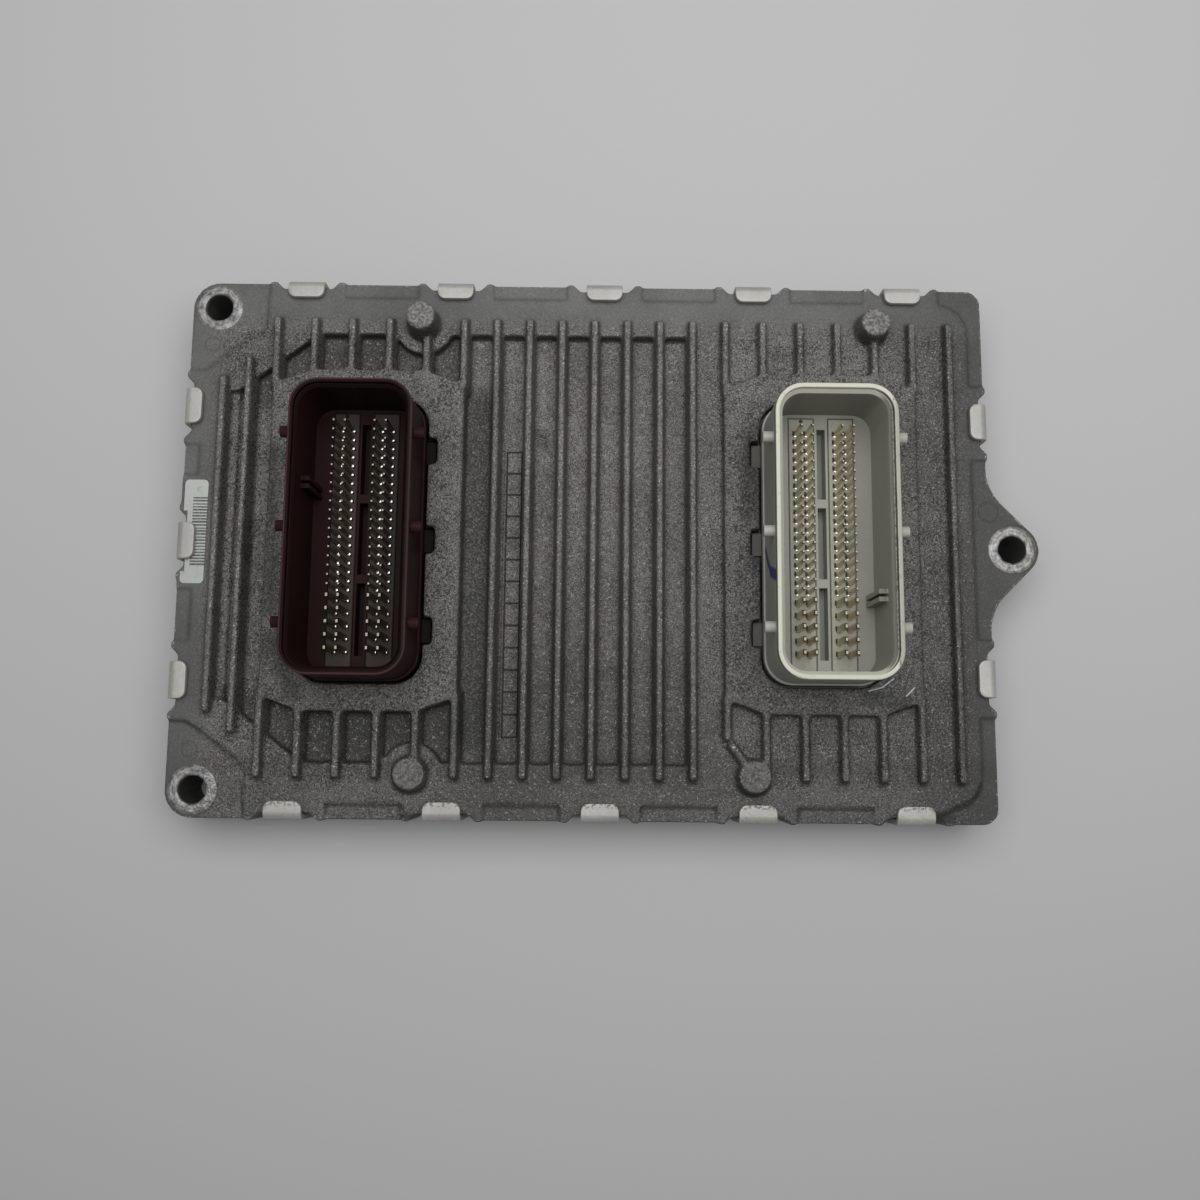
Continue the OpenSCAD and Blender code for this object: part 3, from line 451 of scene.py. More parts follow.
def speckle_group():
    """Grain of a cast skin about 0, its bright grains and the height that makes its pits."""

    def build(w, entry):
        fine = w.noise(entry["Place"], entry["Scale"], 1.0, 0.5)
        coarse = w.times(entry["Scale"], 0.44)
        wide = w.times(entry["Scale"], 0.28)
        pit = w.noise(w.vector("ADD", entry["Place"], (17.9, 41.3, 8.7)), coarse, 1.5, 0.5)
        broad = w.noise(w.vector("ADD", entry["Place"], (7.3, 3.1, 1.7)), wide, 2.0, 0.5)
        other = w.noise(w.vector("ADD", entry["Place"], (31.7, 12.3, 5.1)), coarse, 1.5, 0.5)
        grain = w.plus(w.line(fine, 7.0, -3.5), w.line(broad, 2.4, -1.2))
        return {"Grain": grain, "Glints": w.fade(other, 0.61, 0.70), "Height": pit}

    return shader_group("cast_speckle", {"Place": "NodeSocketVector", "Scale": "NodeSocketFloat"},
                        ["Grain", "Glints", "Height"], build)


def patch_group():
    """Large soft patches of tone."""

    def build(w, entry):
        broad = w.noise(entry["Place"], entry["Scale"], 2.0, 0.5)
        return {"Mask": w.fade(broad, entry["Low"], entry["High"])}

    inputs = {"Place": "NodeSocketVector", "Scale": "NodeSocketFloat", "Low": "NodeSocketFloat",
              "High": "NodeSocketFloat"}
    return shader_group("soft_patches", inputs, ["Mask"], build)


def stroke_group():
    """A ragged stroke between two points, seen along the axis that Plane leaves out."""

    def build(w, entry):
        flat = w.vector("MULTIPLY", entry["Place"], entry["Plane"])
        run = w.vector("SUBTRACT", entry["To"], entry["From"])
        rel = w.vector("SUBTRACT", flat, entry["From"])
        whole = w.vector("DOT_PRODUCT", run, run)
        along = w.math("DIVIDE", w.vector("DOT_PRODUCT", rel, run), whole, clamp=True)
        miss = w.vector("SUBTRACT", rel, w.vector("SCALE", run, scale=along))
        ragged = w.times(w.minus(w.noise(entry["Place"], 2.2, 3.0), 0.5), entry["Ragged"])
        gap = w.plus(w.vector("LENGTH", miss), ragged)
        inner = w.minus(entry["Width"], entry["Soft"])
        return {"Mask": w.fade(gap, w.plus(entry["Width"], entry["Soft"]), inner)}

    inputs = {"Place": "NodeSocketVector", "Plane": "NodeSocketVector", "From": "NodeSocketVector",
              "To": "NodeSocketVector", "Width": "NodeSocketFloat", "Soft": "NodeSocketFloat",
              "Ragged": "NodeSocketFloat"}
    return shader_group("stroke", inputs, ["Mask"], build)


def disc_group():
    """A round mark about an upright axis, and the distance from that axis."""

    def build(w, entry):
        rel = w.vector("SUBTRACT", w.vector("MULTIPLY", entry["Place"], (1, 1, 0)), entry["Centre"])
        gap = w.vector("LENGTH", rel)
        inner = w.minus(entry["Radius"], entry["Soft"])
        mask = w.fade(gap, w.plus(entry["Radius"], entry["Soft"]), inner)
        return {"Mask": mask, "Distance": gap}

    inputs = {"Place": "NodeSocketVector", "Centre": "NodeSocketVector", "Radius": "NodeSocketFloat",
              "Soft": "NodeSocketFloat"}
    return shader_group("round_mark", inputs, ["Mask", "Distance"], build)


def outline_group():
    """Distance from the outline of an upright rectangle with round corners, below 0 inside it."""

    def build(w, entry):
        rel = w.vector("SUBTRACT", w.vector("MULTIPLY", entry["Place"], (1, 1, 0)), entry["Centre"])
        turn = w.add("ShaderNodeCombineXYZ", {0: entry["Radius"], 1: entry["Radius"]}).outputs[0]
        past = w.vector("SUBTRACT", w.vector("ABSOLUTE", rel), w.vector("SUBTRACT", entry["Half"], turn))
        x, y = w.split(past)[:2]
        outside = w.vector("LENGTH", w.vector("MAXIMUM", past, (0, 0, 0)))
        inside = w.math("MINIMUM", w.math("MAXIMUM", x, y), 0.0)
        return {"Distance": w.minus(w.plus(outside, inside), entry["Radius"])}

    inputs = {"Place": "NodeSocketVector", "Centre": "NodeSocketVector", "Half": "NodeSocketVector",
              "Radius": "NodeSocketFloat"}
    return shader_group("round_outline", inputs, ["Distance"], build)


def moulded_group():
    """Slight unevenness of a moulded or painted skin."""

    def build(w, entry):
        broad = w.noise(entry["Place"], 0.12, 3.0, 0.5)
        fine = w.noise(entry["Place"], entry["Scale"], 3.0, 0.6)
        return {"Tone": w.plus(w.times(broad, 0.6), w.times(fine, 0.4)), "Height": fine}

    return shader_group("moulded_skin", {"Place": "NodeSocketVector", "Scale": "NodeSocketFloat"},
                        ["Tone", "Height"], build)


def new_material(name, roughness, metallic=0.0, specular=0.5):
    """A material with one Principled shader whose plain values stand on its own sockets."""
    material = bpy.data.materials.new(name)
    material.use_nodes = True
    material.node_tree.nodes.clear()
    wiring = Wiring(material.node_tree)
    shader = wiring.add("ShaderNodeBsdfPrincipled")
    shader.inputs["Specular IOR Level"].default_value = specular
    wiring.feed(shader.inputs["Roughness"], roughness)
    wiring.feed(shader.inputs["Metallic"], metallic)
    out = wiring.add("ShaderNodeOutputMaterial")
    material.node_tree.links.new(shader.outputs[0], out.inputs["Surface"])
    return material, wiring, shader


def set_bump(wiring, shader, height, depth_mm):
    """Feeds a height through a Bump node into the shader's normal."""
    bump = wiring.add("ShaderNodeBump", {"Height": height})
    bump.inputs["Strength"].default_value = 1.0
    bump.inputs["Distance"].default_value = depth_mm * MM
    wiring.tree.links.new(bump.outputs[0], shader.inputs["Normal"])


def stroke(w, place, start, end, width, soft, ragged, plane=FROM_ABOVE):
    """Mask of one stroke. Points are in millimetres and are flattened onto the plane."""
    flat = [tuple(c * k for c, k in zip((*p, 0)[:3], plane)) for p in (start, end)]
    return w.use(stroke_group(), Place=place, Plane=plane, From=flat[0], To=flat[1], Width=width, Soft=soft,
                 Ragged=ragged)["Mask"]


def strokes(w, place, marks, plane=FROM_ABOVE):
    """Mask of several strokes."""
    return w.any_of([stroke(w, place, *mark, plane=plane) for mark in marks])


def disc(w, place, centre, radius, soft):
    """Mask of a round mark and the distance from its centre."""
    return w.use(disc_group(), Place=place, Centre=(*centre, 0.0), Radius=radius, Soft=soft)


def uneven(w, amount, base, low, high):
    """A colour that wavers between a low and a high share of itself."""
    return w.blend(amount, scaled(base, low), scaled(base, high))


def cast_skin(w, look, place, middle, skin, patches):
    """Speckled tone of the casting, with painted shade in the pockets, and darker to the right and towards the
    lower edge.
    """
    x, y, z = w.split(place)
    off_x, off_y = w.absolute(x), w.absolute(y)
    clusters = w.use(patch_group(), Place=place, Scale=0.26, Low=0.42, High=0.62)["Mask"]
    brown = w.use(patch_group(), Place=place, Scale=0.12, Low=0.50, High=0.68)["Mask"]
    tone = w.blend(middle, look.border, look.core)
    tone = w.blend(w.times(brown, middle, w.fade(z, *LEVELS["brown"]), 0.5), tone, look.brown)

    grain = w.math("MAXIMUM", w.plus(w.times(skin["Grain"], w.line(middle, 0.42, 0.16)), 1.0), 0.2)
    lower = w.fade(y, 10.0, -50.0)
    right = w.fade(x, 56.0, 78.0)
    # Painted shade: the low pockets are darkened
    pocket_shade = w.times(w.fade(z, *LEVELS["pocket_shade"]), w.fade(off_y, 27.0, 31.0), w.fade(off_x, 22.0, 26.0))
    corner_pad = w.times(w.fade(x, -60.0, -66.0), w.fade(y, -30.0, -36.0))
    field = w.times(w.fade(off_x, 28.0, 18.0), w.line(w.fade(y, 0.0, -30.0), -2.8, 1.0))
    shade = w.times(grain, w.line(patches, 0.24, 0.88), w.line(lower, -0.22, 1.0), w.line(right, -0.36, 1.0),
                    w.line(pocket_shade, -0.48, 1.0), w.line(corner_pad, 0.22, 1.0), w.line(field, 0.1, 1.0))
    tone = w.vector("SCALE", tone, scale=shade)

    pits = w.fade(w.minus(skin["Height"], w.times(clusters, 0.10)), 0.42, 0.33)
    pitted = w.times(w.line(middle, 0.8, 0.06), w.line(w.fade(off_x, 24.0, 28.0), 0.4, 0.6))
    tone = w.blend(w.times(pits, pitted), tone, look.dark)
    return w.blend(w.times(skin["Glints"], w.line(middle, 0.5, 0.06)), tone, look.light)


def cast_edges(w, look, tone, place, skin):
    """Paints shade on steep flanks, in hollows, on the wall that faces away from the light and along the front
    step, and rubs the crests pale with wear and painted highlights.
    """
    y = w.split(place)[1]
    front, up = w.split(w.add("ShaderNodeNewGeometry").outputs["Normal"])[1:]
    edge = w.add("ShaderNodeAttribute", attribute_name="edge").outputs["Fac"]
    # Painted shade on steep flanks, in hollows, on walls facing away from the light and along the front step
    flank_shade = w.times(w.fade(w.absolute(up), 0.75, 0.25), 0.1)
    hollow = w.times(w.fade(edge, -0.15, -0.8), w.fade(y, 46.5, 45.0), w.fade(y, -38.0, -34.0), 0.3)
    back_wall_shade = w.times(w.fade(front, -0.3, -0.7), w.fade(y, 20.0, 28.0), 0.6)
    front_step_shade = w.times(w.fade(edge, -0.03, -0.2), w.fade(y, -46.0, -49.0), 0.85)
    for mask in (flank_shade, hollow, back_wall_shade, front_step_shade):
        tone = w.blend(mask, tone, look.dark)
    # Up-facing crests: rubbed pale by wear and by painted highlight, with painted glints
    crest = w.times(w.fade(edge, 0.08, 0.45), w.fade(up, 0.6, 0.95))
    worn = w.fade(w.noise(place, 0.9, 4.0), 0.3, 0.62)
    rub_and_highlight = w.times(crest, worn, w.line(w.fade(y, -44.0, -28.0), 0.6, 0.4))
    tone = w.blend(w.times(rub_and_highlight, 0.38), tone, look.light)
    return w.blend(w.times(crest, skin["Glints"], 0.6), tone, look.glint)


def cast_heads(w, look, tone, place):
    """Brightens the heads of the posts with wear and a painted highlight, more on the upper posts."""
    y, z = w.split(place)[1:]
    heads = w.any_of([disc(w, place, at, POST_RADIUS, 0.25)["Mask"] for at in POSTS])
    head = w.times(heads, w.fade(z, *LEVELS["post_head"]))
    mottle = w.fade(w.noise(place, 1.7, 3.0, 0.6), 0.36, 0.66)
    head_tone = w.blend(mottle, scaled(look.border, 0.8), scaled(look.light, 0.85))
    # Painted highlight and wear on the post heads
    return w.blend(w.times(head, w.line(w.fade(y, -10.0, 10.0), 0.55, 0.35)), tone, head_tone)


def cast_rings(w, look, place):
    """Mask and tone of the rings faced round the holes."""
    rings = [disc(w, place, at, RING_RADIUS, 0.12) for at in HOLES]
    ring = w.times(w.any_of([r["Mask"] for r in rings]), w.fade(w.split(place)[2], *LEVELS["ring"]))
    first, second, third = [r["Distance"] for r in rings]
    turned = w.math("MINIMUM", w.math("MINIMUM", first, second), third)
    swirl = w.noise(w.add("ShaderNodeCombineXYZ", {0: turned}).outputs[0], 6.0, 3.0)
    wear = w.plus(w.times(swirl, 0.5), w.times(w.noise(place, 0.8, 4.0, 0.65), 0.6))
    return ring, w.blend(w.fade(wear, 0.42, 0.66), look.machined, look.border)


def cast_ladder(w, place):
    """Mask of the lines of the die's ladder of cells."""
    x, y, z = w.split(place)
    left, right, low, high = (LADDER[side] for side in ("left", "right", "low", "high"))
    cell = w.math("FRACT", w.line(y, 1 / LADDER["cell"], -low / LADDER["cell"]))
    rung = w.fade(w.absolute(w.minus(cell, 0.5)), 0.445, 0.47)
    rails = [w.near(x, at, 0.16, 0.08) for at in (left, right)]
    outer = [w.times(w.near(x, at, 0.1, 0.08), 0.5) for at in (left - 0.55, right + 0.5)]
    width, length = right - left, high - low
    inside_x = w.near(x, left + width / 2, width / 2, 0.1)
    inside_y = w.near(y, low + length / 2, length / 2 + 0.15, 0.1)
    lines = w.any_of([w.times(rung, inside_x), *rails, *outer])
    return w.times(lines, inside_y, w.fade(z, *LEVELS["ladder"]), w.fade(w.noise(place, 1.3, 3.0), 0.2, 0.42))


def cast_marks(w, look, tone, place, skin, patches):
    """Adds the stains, breaks and scratches that the unit has picked up, grime and painted shade at the lower
    rib ends, and painted shade along the lower-left step.
    """
    y, z = w.split(place)[1:]
    speck = w.fade(skin["Height"], 0.60, 0.42)
    tone = w.blend(w.times(strokes(w, place, STAINS), w.line(speck, 0.45, 0.45)), tone, look.dark)
    # Grime and painted shade in a band at the lower rib ends
    low_dirt_and_shade = w.times(w.near(y, -44.4, 2.0, 1.6), w.fade(z, *LEVELS["low_dirt_and_shade"]), w.line(patches, 0.25, 0.12))
    tone = w.blend(low_dirt_and_shade, tone, look.dark)
    # Painted shade along the lower-left step of the border
    steps = strokes(w, place, [(a, b, 0.32, 0.25, 0.3) for a, b in zip(CORNER_STEP, CORNER_STEP[1:])])
    tone = w.blend(w.times(steps, 0.65), tone, look.dark)
    tone = w.blend(w.times(strokes(w, place, BREAKS), 0.85), tone, look.dark)
    tone = w.blend(w.times(strokes(w, place, SCRATCHES), 0.75), tone, look.scratch)
    return w.blend(w.times(stroke(w, place, *INK_DROP), 0.6), tone, look.ink_drop)


def cast_finish(look):
    """As-cast aluminium: speckled skin, painted shade on flanks and in hollows, crests rubbed pale with painted
    highlights, faced rings, stains and scratches.
    """
    material, w, shader = new_material("cast_aluminium_finish", 0.62, 0.3)
    place = w.place()
    x, y = w.split(place)[:2]

    # The middle and the lower border are rough, the rest of the border that the die left is smooth
    middle = w.times(w.fade(y, 49.0, 43.0), w.line(w.fade(y, -46.0, -50.0), -0.3, 1.0),
                     w.fade(w.absolute(w.line(x, 1.0, -1.0)), 80.0, 72.0))
    skin = w.use(speckle_group(), Place=place, Scale=5.2)
    patches = w.use(patch_group(), Place=place, Scale=0.07, Low=0.36, High=0.64)["Mask"]
    ring, ring_tone = cast_rings(w, look, place)
    ladder = cast_ladder(w, place)
    tone = cast_skin(w, look, place, middle, skin, patches)
    tone = cast_edges(w, look, tone, place, skin)
    tone = cast_heads(w, look, tone, place)
    tone = w.blend(ring, tone, ring_tone)
    tone = w.blend(w.times(ladder, 0.95), tone, scaled(look.dark, 0.4))
    w.feed(shader.inputs["Base Color"], cast_marks(w, look, tone, place, skin, patches))

    gloss = w.line(skin["Glints"], -0.12, 0.64)
    w.feed(shader.inputs["Roughness"], w.minus(gloss, w.times(ring, 0.2)))
    w.feed(shader.inputs["Metallic"], w.line(ring, 0.35, 0.25))

    # The ejector marks and the ladder are sunk into the skin
    circles = []
    for *centre, radius in EJECTOR_MARKS:
        circles.append(w.near(disc(w, place, centre, radius, 0.12)["Distance"], radius, 0.18, 0.12))
    sunk = w.plus(w.times(w.any_of(circles), 0.4), w.times(ladder, 0.5))
    set_bump(w, shader, w.minus(w.times(skin["Height"], w.line(middle, 0.8, 0.25)), sunk), 0.22)
    return material


def sheet_finish(look):
    """Plated sheet with a warm satin shine, a rolling grain, painted shade on the legs and in the hollows, and
    chipped edges.
    """
    material, w, shader = new_material("plated_sheet_finish", 0.45, 0.3)
    place = w.place()
    y, z = w.split(place)[1:]
    edge = w.add("ShaderNodeAttribute", attribute_name="edge").outputs["Fac"]
    skin = w.use(moulded_group(), Place=place, Scale=1.4)
    rolled = w.noise(w.vector("MULTIPLY", place, (3.0, 0.35, 3.0)), 1.0, 3.0)
    tone = uneven(w, w.fade(skin["Tone"], 0.35, 0.7), look.tone, 0.86, 1.1)
    tone = w.blend(w.times(w.fade(rolled, 0.45, 0.75), 0.2), tone, scaled(look.tone, 0.7))
    # Painted shade on the tabs' legs below the sheet's top
    tone = w.blend(w.times(w.fade(z, *LEVELS["tab_leg_shade"]), 0.55), tone, scaled(look.tone, 0.45))

    # The lower tabs are chipped along their inner edge, the others only flecked
    low = w.times(w.fade(y, -40.0, -48.0), w.fade(z, *LEVELS["tab"]))
    inner = w.times(w.fade(y, -52.6, -51.6), low)
    chips = w.times(w.fade(w.noise(place, 1.7, 4.0, 0.6), 0.52, 0.58), inner)
    flecks = w.times(w.fade(w.noise(place, 2.3, 3.0, 0.6), 0.63, 0.70), w.line(low, 0.5, 0.4))
    tone = w.blend(w.times(w.any_of([chips, flecks]), 0.75), tone, look.worn)
    # Painted shade in the sheet's hollows, in the chipped plating's colour
    tone = w.blend(w.times(w.fade(edge, -0.1, -0.5), 0.5), tone, look.worn)
    w.feed(shader.inputs["Base Color"], tone)
    w.feed(shader.inputs["Roughness"], w.line(skin["Tone"], 0.25, 0.35))
    set_bump(w, shader, w.minus(w.times(skin["Height"], 0.5), chips), 0.05)
    return material


def moulded_finish(name, centre, base, lip, dirt_and_shade, specular, lip_width, rim_share, ledge_share, marker=None):
    """Moulded plastic with a faint grain, a lighter lip that is partly wear and partly painted light, painted
    shade in the depths, in concave corners and on the low parts outside the socket, specks and perhaps a
    marker's stroke.
    """
    material, w, shader = new_material(name, 0.45, 0.0, specular)
    place = w.place()
    x, _, z = w.split(place)
    across, facing, up = w.split(w.add("ShaderNodeNewGeometry").outputs["Normal"])
    edge = w.add("ShaderNodeAttribute", attribute_name="edge").outputs["Fac"]
    skin = w.use(moulded_group(), Place=place, Scale=3.0)
    gap = w.use(outline_group(), Place=place, Centre=(*centre, 0.0), Half=SHROUD["half"],
                Radius=SHROUD["radius"])["Distance"]

    # Painted shade darkens the depths, the wall that faces away from the light and the band inside the rim; the
    # coding key's upward faces are darker too
    deep_shade = w.times(w.fade(z, *LEVELS["deep_shade"]), 0.6)
    back_wall_shade = w.times(w.fade(facing, -0.5, -0.95), w.fade(gap, -0.6, -0.9),
                        w.fade(z, *LEVELS["back_wall_shade"]), 0.75)
    key = w.times(w.fade(up, 0.5, 0.9), w.fade(z, *LEVELS["key"]), w.fade(z, *LEVELS["key_top"]),
                  w.fade(gap, -1.7, -2.0), 0.8)
    rim = w.times(w.fade(z, *LEVELS["rim"]), w.fade(gap, -0.2, -0.4), 0.9)
    tone = uneven(w, w.fade(skin["Tone"], 0.3, 0.7), base, 0.85, 1.12)
    for mask, share in ((deep_shade, 0.6), (back_wall_shade, 0.45), (key, 0.35), (rim, rim_share)):
        tone = w.blend(mask, tone, scaled(base, share))
    # The lip colour on the rim's top is partly wear and partly painted light; on the pale socket it also covers
    # the short inner wall and the ledge, painted light where shade would fall
    clean_and_lit = w.times(w.fade(z, *LEVELS["lip"]), w.fade(gap, -lip_width - 0.12, -lip_width + 0.12))
    ledge = w.times(w.fade(z, *LEVELS["ledge"]), ledge_share)
    worn = w.fade(w.noise(place, 0.5, 3.0), 0.2, 0.45)
    tone = w.blend(w.times(w.math("MAXIMUM", clean_and_lit, ledge), worn), tone, lip)

    # Grime on the right lip, specks all over and smears; faces near the top that turn towards -X are darker;
    # painted shade in the concave corners and on the low parts outside the socket
    guide = w.times(w.fade(across, -0.3, -0.6), w.fade(z, *LEVELS["ledge"]), 0.85)
    tone = w.blend(guide, tone, scaled(base, 0.34))
    inner = centre[0] + LIP_INNER
    mouth = w.fade(z, *LEVELS["mouth"])
    right_lip = w.times(w.fade(x, inner + 0.2, inner + 0.4), mouth, 0.42)
    specks = w.times(w.fade(w.noise(place, 1.9, 3.0, 0.6), 0.68, 0.73), 0.85)
    blots = w.line(w.fade(w.noise(place, 1.5, 3.0, 0.6), 0.46, 0.60), 0.55, 0.3)
    smears = w.times(w.near(x, inner, 0.2, 0.25), mouth, blots)
    # Painted shade in concave corners and on the low parts outside the socket
    corners = w.times(w.fade(edge, -0.1, -0.6), w.fade(z, *LEVELS["corner"]), 0.4)
    flange = w.times(w.fade(z, *LEVELS["flange"]), w.fade(gap, -0.5, 0.2), 0.85)
    for mask, share in ((right_lip, 1.0), (specks, 1.0), (smears, 0.6), (corners, 1.0), (flange, 0.5)):
        tone = w.blend(mask, tone, scaled(dirt_and_shade, share))
    if marker:
        side = w.times(w.fade(x, 36.6, 36.2), 0.92)
        tone = w.blend(w.times(strokes(w, place, MARKER_STROKES, FROM_THE_SIDE), side), tone, marker)
    w.feed(shader.inputs["Base Color"], tone)
    w.feed(shader.inputs["Roughness"], w.line(skin["Tone"], 0.2, 0.35))
    set_bump(w, shader, skin["Height"], 0.012)
    return material


def carrier_finish(name, base, specular, centre, well):
    """Plastic of the pin carriers, with dark joints round them, and painted shade of a well beside every pin
    and of an empty hole.
    """
    material, w, shader = new_material(name, 0.5, 0.0, specular)
    place = w.place()
    x, y, z = w.split(place)
    skin = w.use(moulded_group(), Place=place, Scale=3.0)
    columns = w.any_of([w.near(x, centre[0] + column + well["side"], 0.19, 0.05) for column in PIN_COLUMNS])
    slits = []
    for rows in (SLIM_ROWS, WIDE_ROWS):
        first = centre[1] + rows["high"] - well["below"]
        along = w.math("FRACT", w.line(y, 1 / rows["step"], -first / rows["step"]))
        share = well["length"] / rows["step"]
        span = (rows["count"] - 1) * rows["step"] / 2
        inside = w.near(y, first - span + rows["step"] / 2, span + rows["step"] / 2, 0.02)
        slits.append(w.times(w.fade(along, share + 0.04, share - 0.04), inside))
    slit = w.times(w.any_of(slits), columns, w.fade(z, *LEVELS["well"]))
    joints = []
    for side in (-1, 1):
        middle = (centre[0] + side * CARRIER["offset"], centre[1], 0.0)
        gap = w.use(outline_group(), Place=place, Centre=middle, Half=CARRIER["half"], Radius=0.1)["Distance"]
        joints.append(w.near(gap, 0.0, 0.2, 0.06))
    hole_place = (centre[0] - CARRIER["offset"], CARRIER["hole_y"])
    hole = disc(w, place, hole_place, CARRIER["hole_radius"], 0.08)["Mask"]
    tone = uneven(w, w.fade(skin["Tone"], 0.3, 0.7), base, 0.85, 1.12)
    stain = w.times(w.fade(w.noise(place, 2.0, 3.0), 0.5, 0.66), 0.25)
    tone = w.blend(stain, tone, scaled(base, 0.55))
    tone = w.blend(w.times(w.any_of(joints), 0.75), tone, scaled(base, 0.12))
    # Painted shade: the wells beside the pins and the empty hole are painted near black
    tone = w.blend(w.times(w.any_of([slit, hole]), 0.95), tone, (0.003, 0.003, 0.003))
    w.feed(shader.inputs["Base Color"], tone)
    w.feed(shader.inputs["Roughness"], w.line(skin["Tone"], 0.2, 0.4))
    set_bump(w, shader, w.minus(w.times(skin["Height"], 0.1), slit), 0.1)
    return material


def plated_finish(name, look, share, tip_z):
    """Pins with warm plated shafts, darkened to a share of their colour as painted shade, and dulled tips."""
    material, w, shader = new_material(name, 0.35, 1.0)
    place = w.place()
    z = w.split(place)[2]
    skin = w.use(moulded_group(), Place=place, Scale=4.0)
    shaft = scaled(look.shaft, share)
    tone = w.blend(w.fade(skin["Tone"], 0.35, 0.68), scaled(shaft, 0.75), shaft)
    tone = w.blend(w.fade(z, tip_z - 0.5, tip_z - 0.1), tone, look.tip)
    w.feed(shader.inputs["Base Color"], tone)
    w.feed(shader.inputs["Roughness"], w.line(skin["Tone"], 0.2, 0.28))
    return material


def shoulder_finish(look):
    """Bright solder-like skin of the shoulders at the pins' feet."""
    material, w, shader = new_material("plated_shoulder_finish", 0.3, 0.85)
    skin = w.use(moulded_group(), Place=w.place(), Scale=4.0)
    tone = w.blend(w.fade(skin["Tone"], 0.3, 0.7), scaled(look.foot, 0.85), look.foot)
    w.feed(shader.inputs["Base Color"], tone)
    w.feed(shader.inputs["Roughness"], w.line(skin["Tone"], 0.2, 0.2))
    return material


def printed_finish(look):
    """Label stock with a field of generic bars."""
    material, w, shader = new_material("label_finish", 0.5, 0.0, 0.4)
    place = w.place()
    x, y = w.split(place)[:2]
    step = w.math("DIVIDE", y, look.bar_step)
    odd = w.add("ShaderNodeTexWhiteNoise", {"W": w.math("FLOOR", step)}, noise_dimensions="1D").outputs["Value"]
    along = w.math("FRACT", step)
    bar = w.fade(w.minus(along, w.line(odd, 0.3, 0.38)), 0.06, -0.06)
    left, high, low = LABEL_FIELD.values()
    field = w.times(w.fade(x, left, left + 0.1), w.fade(y, high, high - 0.1), w.fade(y, low, low + 0.1))
    skin = w.use(moulded_group(), Place=place, Scale=2.0)
    paper = uneven(w, w.fade(skin["Tone"], 0.3, 0.7), look.paper, 0.9, 1.08)
    worn = w.fade(w.noise(place, 2.5, 3.0), 0.35, 0.5)
    tone = w.blend(w.times(bar, field, w.line(worn, 0.3, 0.65)), paper, look.bars)
    smudge = w.fade(w.noise(place, 0.7, 4.0, 0.6), 0.58, 0.7)
    w.feed(shader.inputs["Base Color"], w.blend(w.times(smudge, 0.35), tone, look.smudge))
    w.feed(shader.inputs["Roughness"], w.line(skin["Tone"], 0.2, 0.4))
    set_bump(w, shader, skin["Height"], 0.01)
    return material


def plain_finish(name, base, gloss, metallic=0.0, depth=0.01, scale=2.0):
    """Finish of an inner piece: a base colour with an uneven skin."""
    material, w, shader = new_material(name, gloss, metallic)
    skin = w.use(moulded_group(), Place=w.place(), Scale=scale)
    tone = w.blend(w.fade(skin["Tone"], 0.32, 0.7), scaled(base, 0.8), [min(c * 1.18, 1) for c in base])
    w.feed(shader.inputs["Base Color"], tone)
    w.feed(shader.inputs["Roughness"], w.plus(w.times(skin["Tone"], 0.25), gloss - 0.12))
    set_bump(w, shader, skin["Height"], depth)
    return material


def board_finish(look):
    """Solder mask over a faint pattern of tracks."""
    material, w, shader = new_material("solder_mask_finish", 0.35)
    place = w.place()
    skin = w.use(moulded_group(), Place=place, Scale=2.0)
    cells = w.add("ShaderNodeTexVoronoi", {"Vector": place, "Scale": 0.45}, feature="DISTANCE_TO_EDGE",
                  distance="EUCLIDEAN").outputs["Distance"]
    track = w.fade(cells, 0.12, 0.05)
    tone = uneven(w, w.fade(skin["Tone"], 0.3, 0.7), look.mask, 0.8, 1.2)
    tone = w.blend(w.times(track, 0.5), tone, scaled(look.mask, 2.0))
    w.feed(shader.inputs["Base Color"], tone)
    w.feed(shader.inputs["Roughness"], w.plus(w.times(skin["Tone"], 0.2), 0.25))
    set_bump(w, shader, track, 0.03)
    return material


def merged_copy(node, name, flatten):
    """A new object from a CAD node: doubles merged and, if asked, flat triangles joined into whole faces."""
    mesh = bpy.data.meshes.new(name)
    work = bmesh.new()
    work.from_mesh(NODES[node].data)
    bmesh.ops.remove_doubles(work, verts=work.verts, dist=0.002 * MM)
    if flatten:
        bmesh.ops.dissolve_limit(work, angle_limit=math.radians(0.6), use_dissolve_boundaries=False,
                                 verts=work.verts, edges=work.edges, delimit=set())
    work.to_mesh(mesh)
    work.free()
    piece = bpy.data.objects.new(name, mesh)
    bpy.context.scene.collection.objects.link(piece)
    return piece


def baked(piece):
    """Applies the piece's modifiers to its mesh."""
    graph = bpy.context.evaluated_depsgraph_get()
    mesh = bpy.data.meshes.new_from_object(piece.evaluated_get(graph))
    piece.modifiers.clear()
    old = piece.data
    piece.data = mesh
    mesh.name = piece.name
    bpy.data.meshes.remove(old)


def round_edges(piece, radius, segments, wanted):
    """Bevels the edges that wanted(edge) picks."""
    work = bmesh.new()
    work.from_mesh(piece.data)
    edges = [e for e in work.edges if len(e.link_faces) == 2 and wanted(e)]
    bmesh.ops.bevel(work, geom=edges, offset=radius, offset_type="OFFSET", segments=segments, profile=0.5,
                    affect="EDGES", clamp_overlap=True, material=-1)
    work.to_mesh(piece.data)
    work.free()


def cut_faces(piece):
    """Cuts faces with more than four corners into triangles."""
    work = bmesh.new()
    work.from_mesh(piece.data)
    bmesh.ops.triangulate(work, faces=[f for f in work.faces if len(f.verts) > 4])
    work.to_mesh(piece.data)
    work.free()


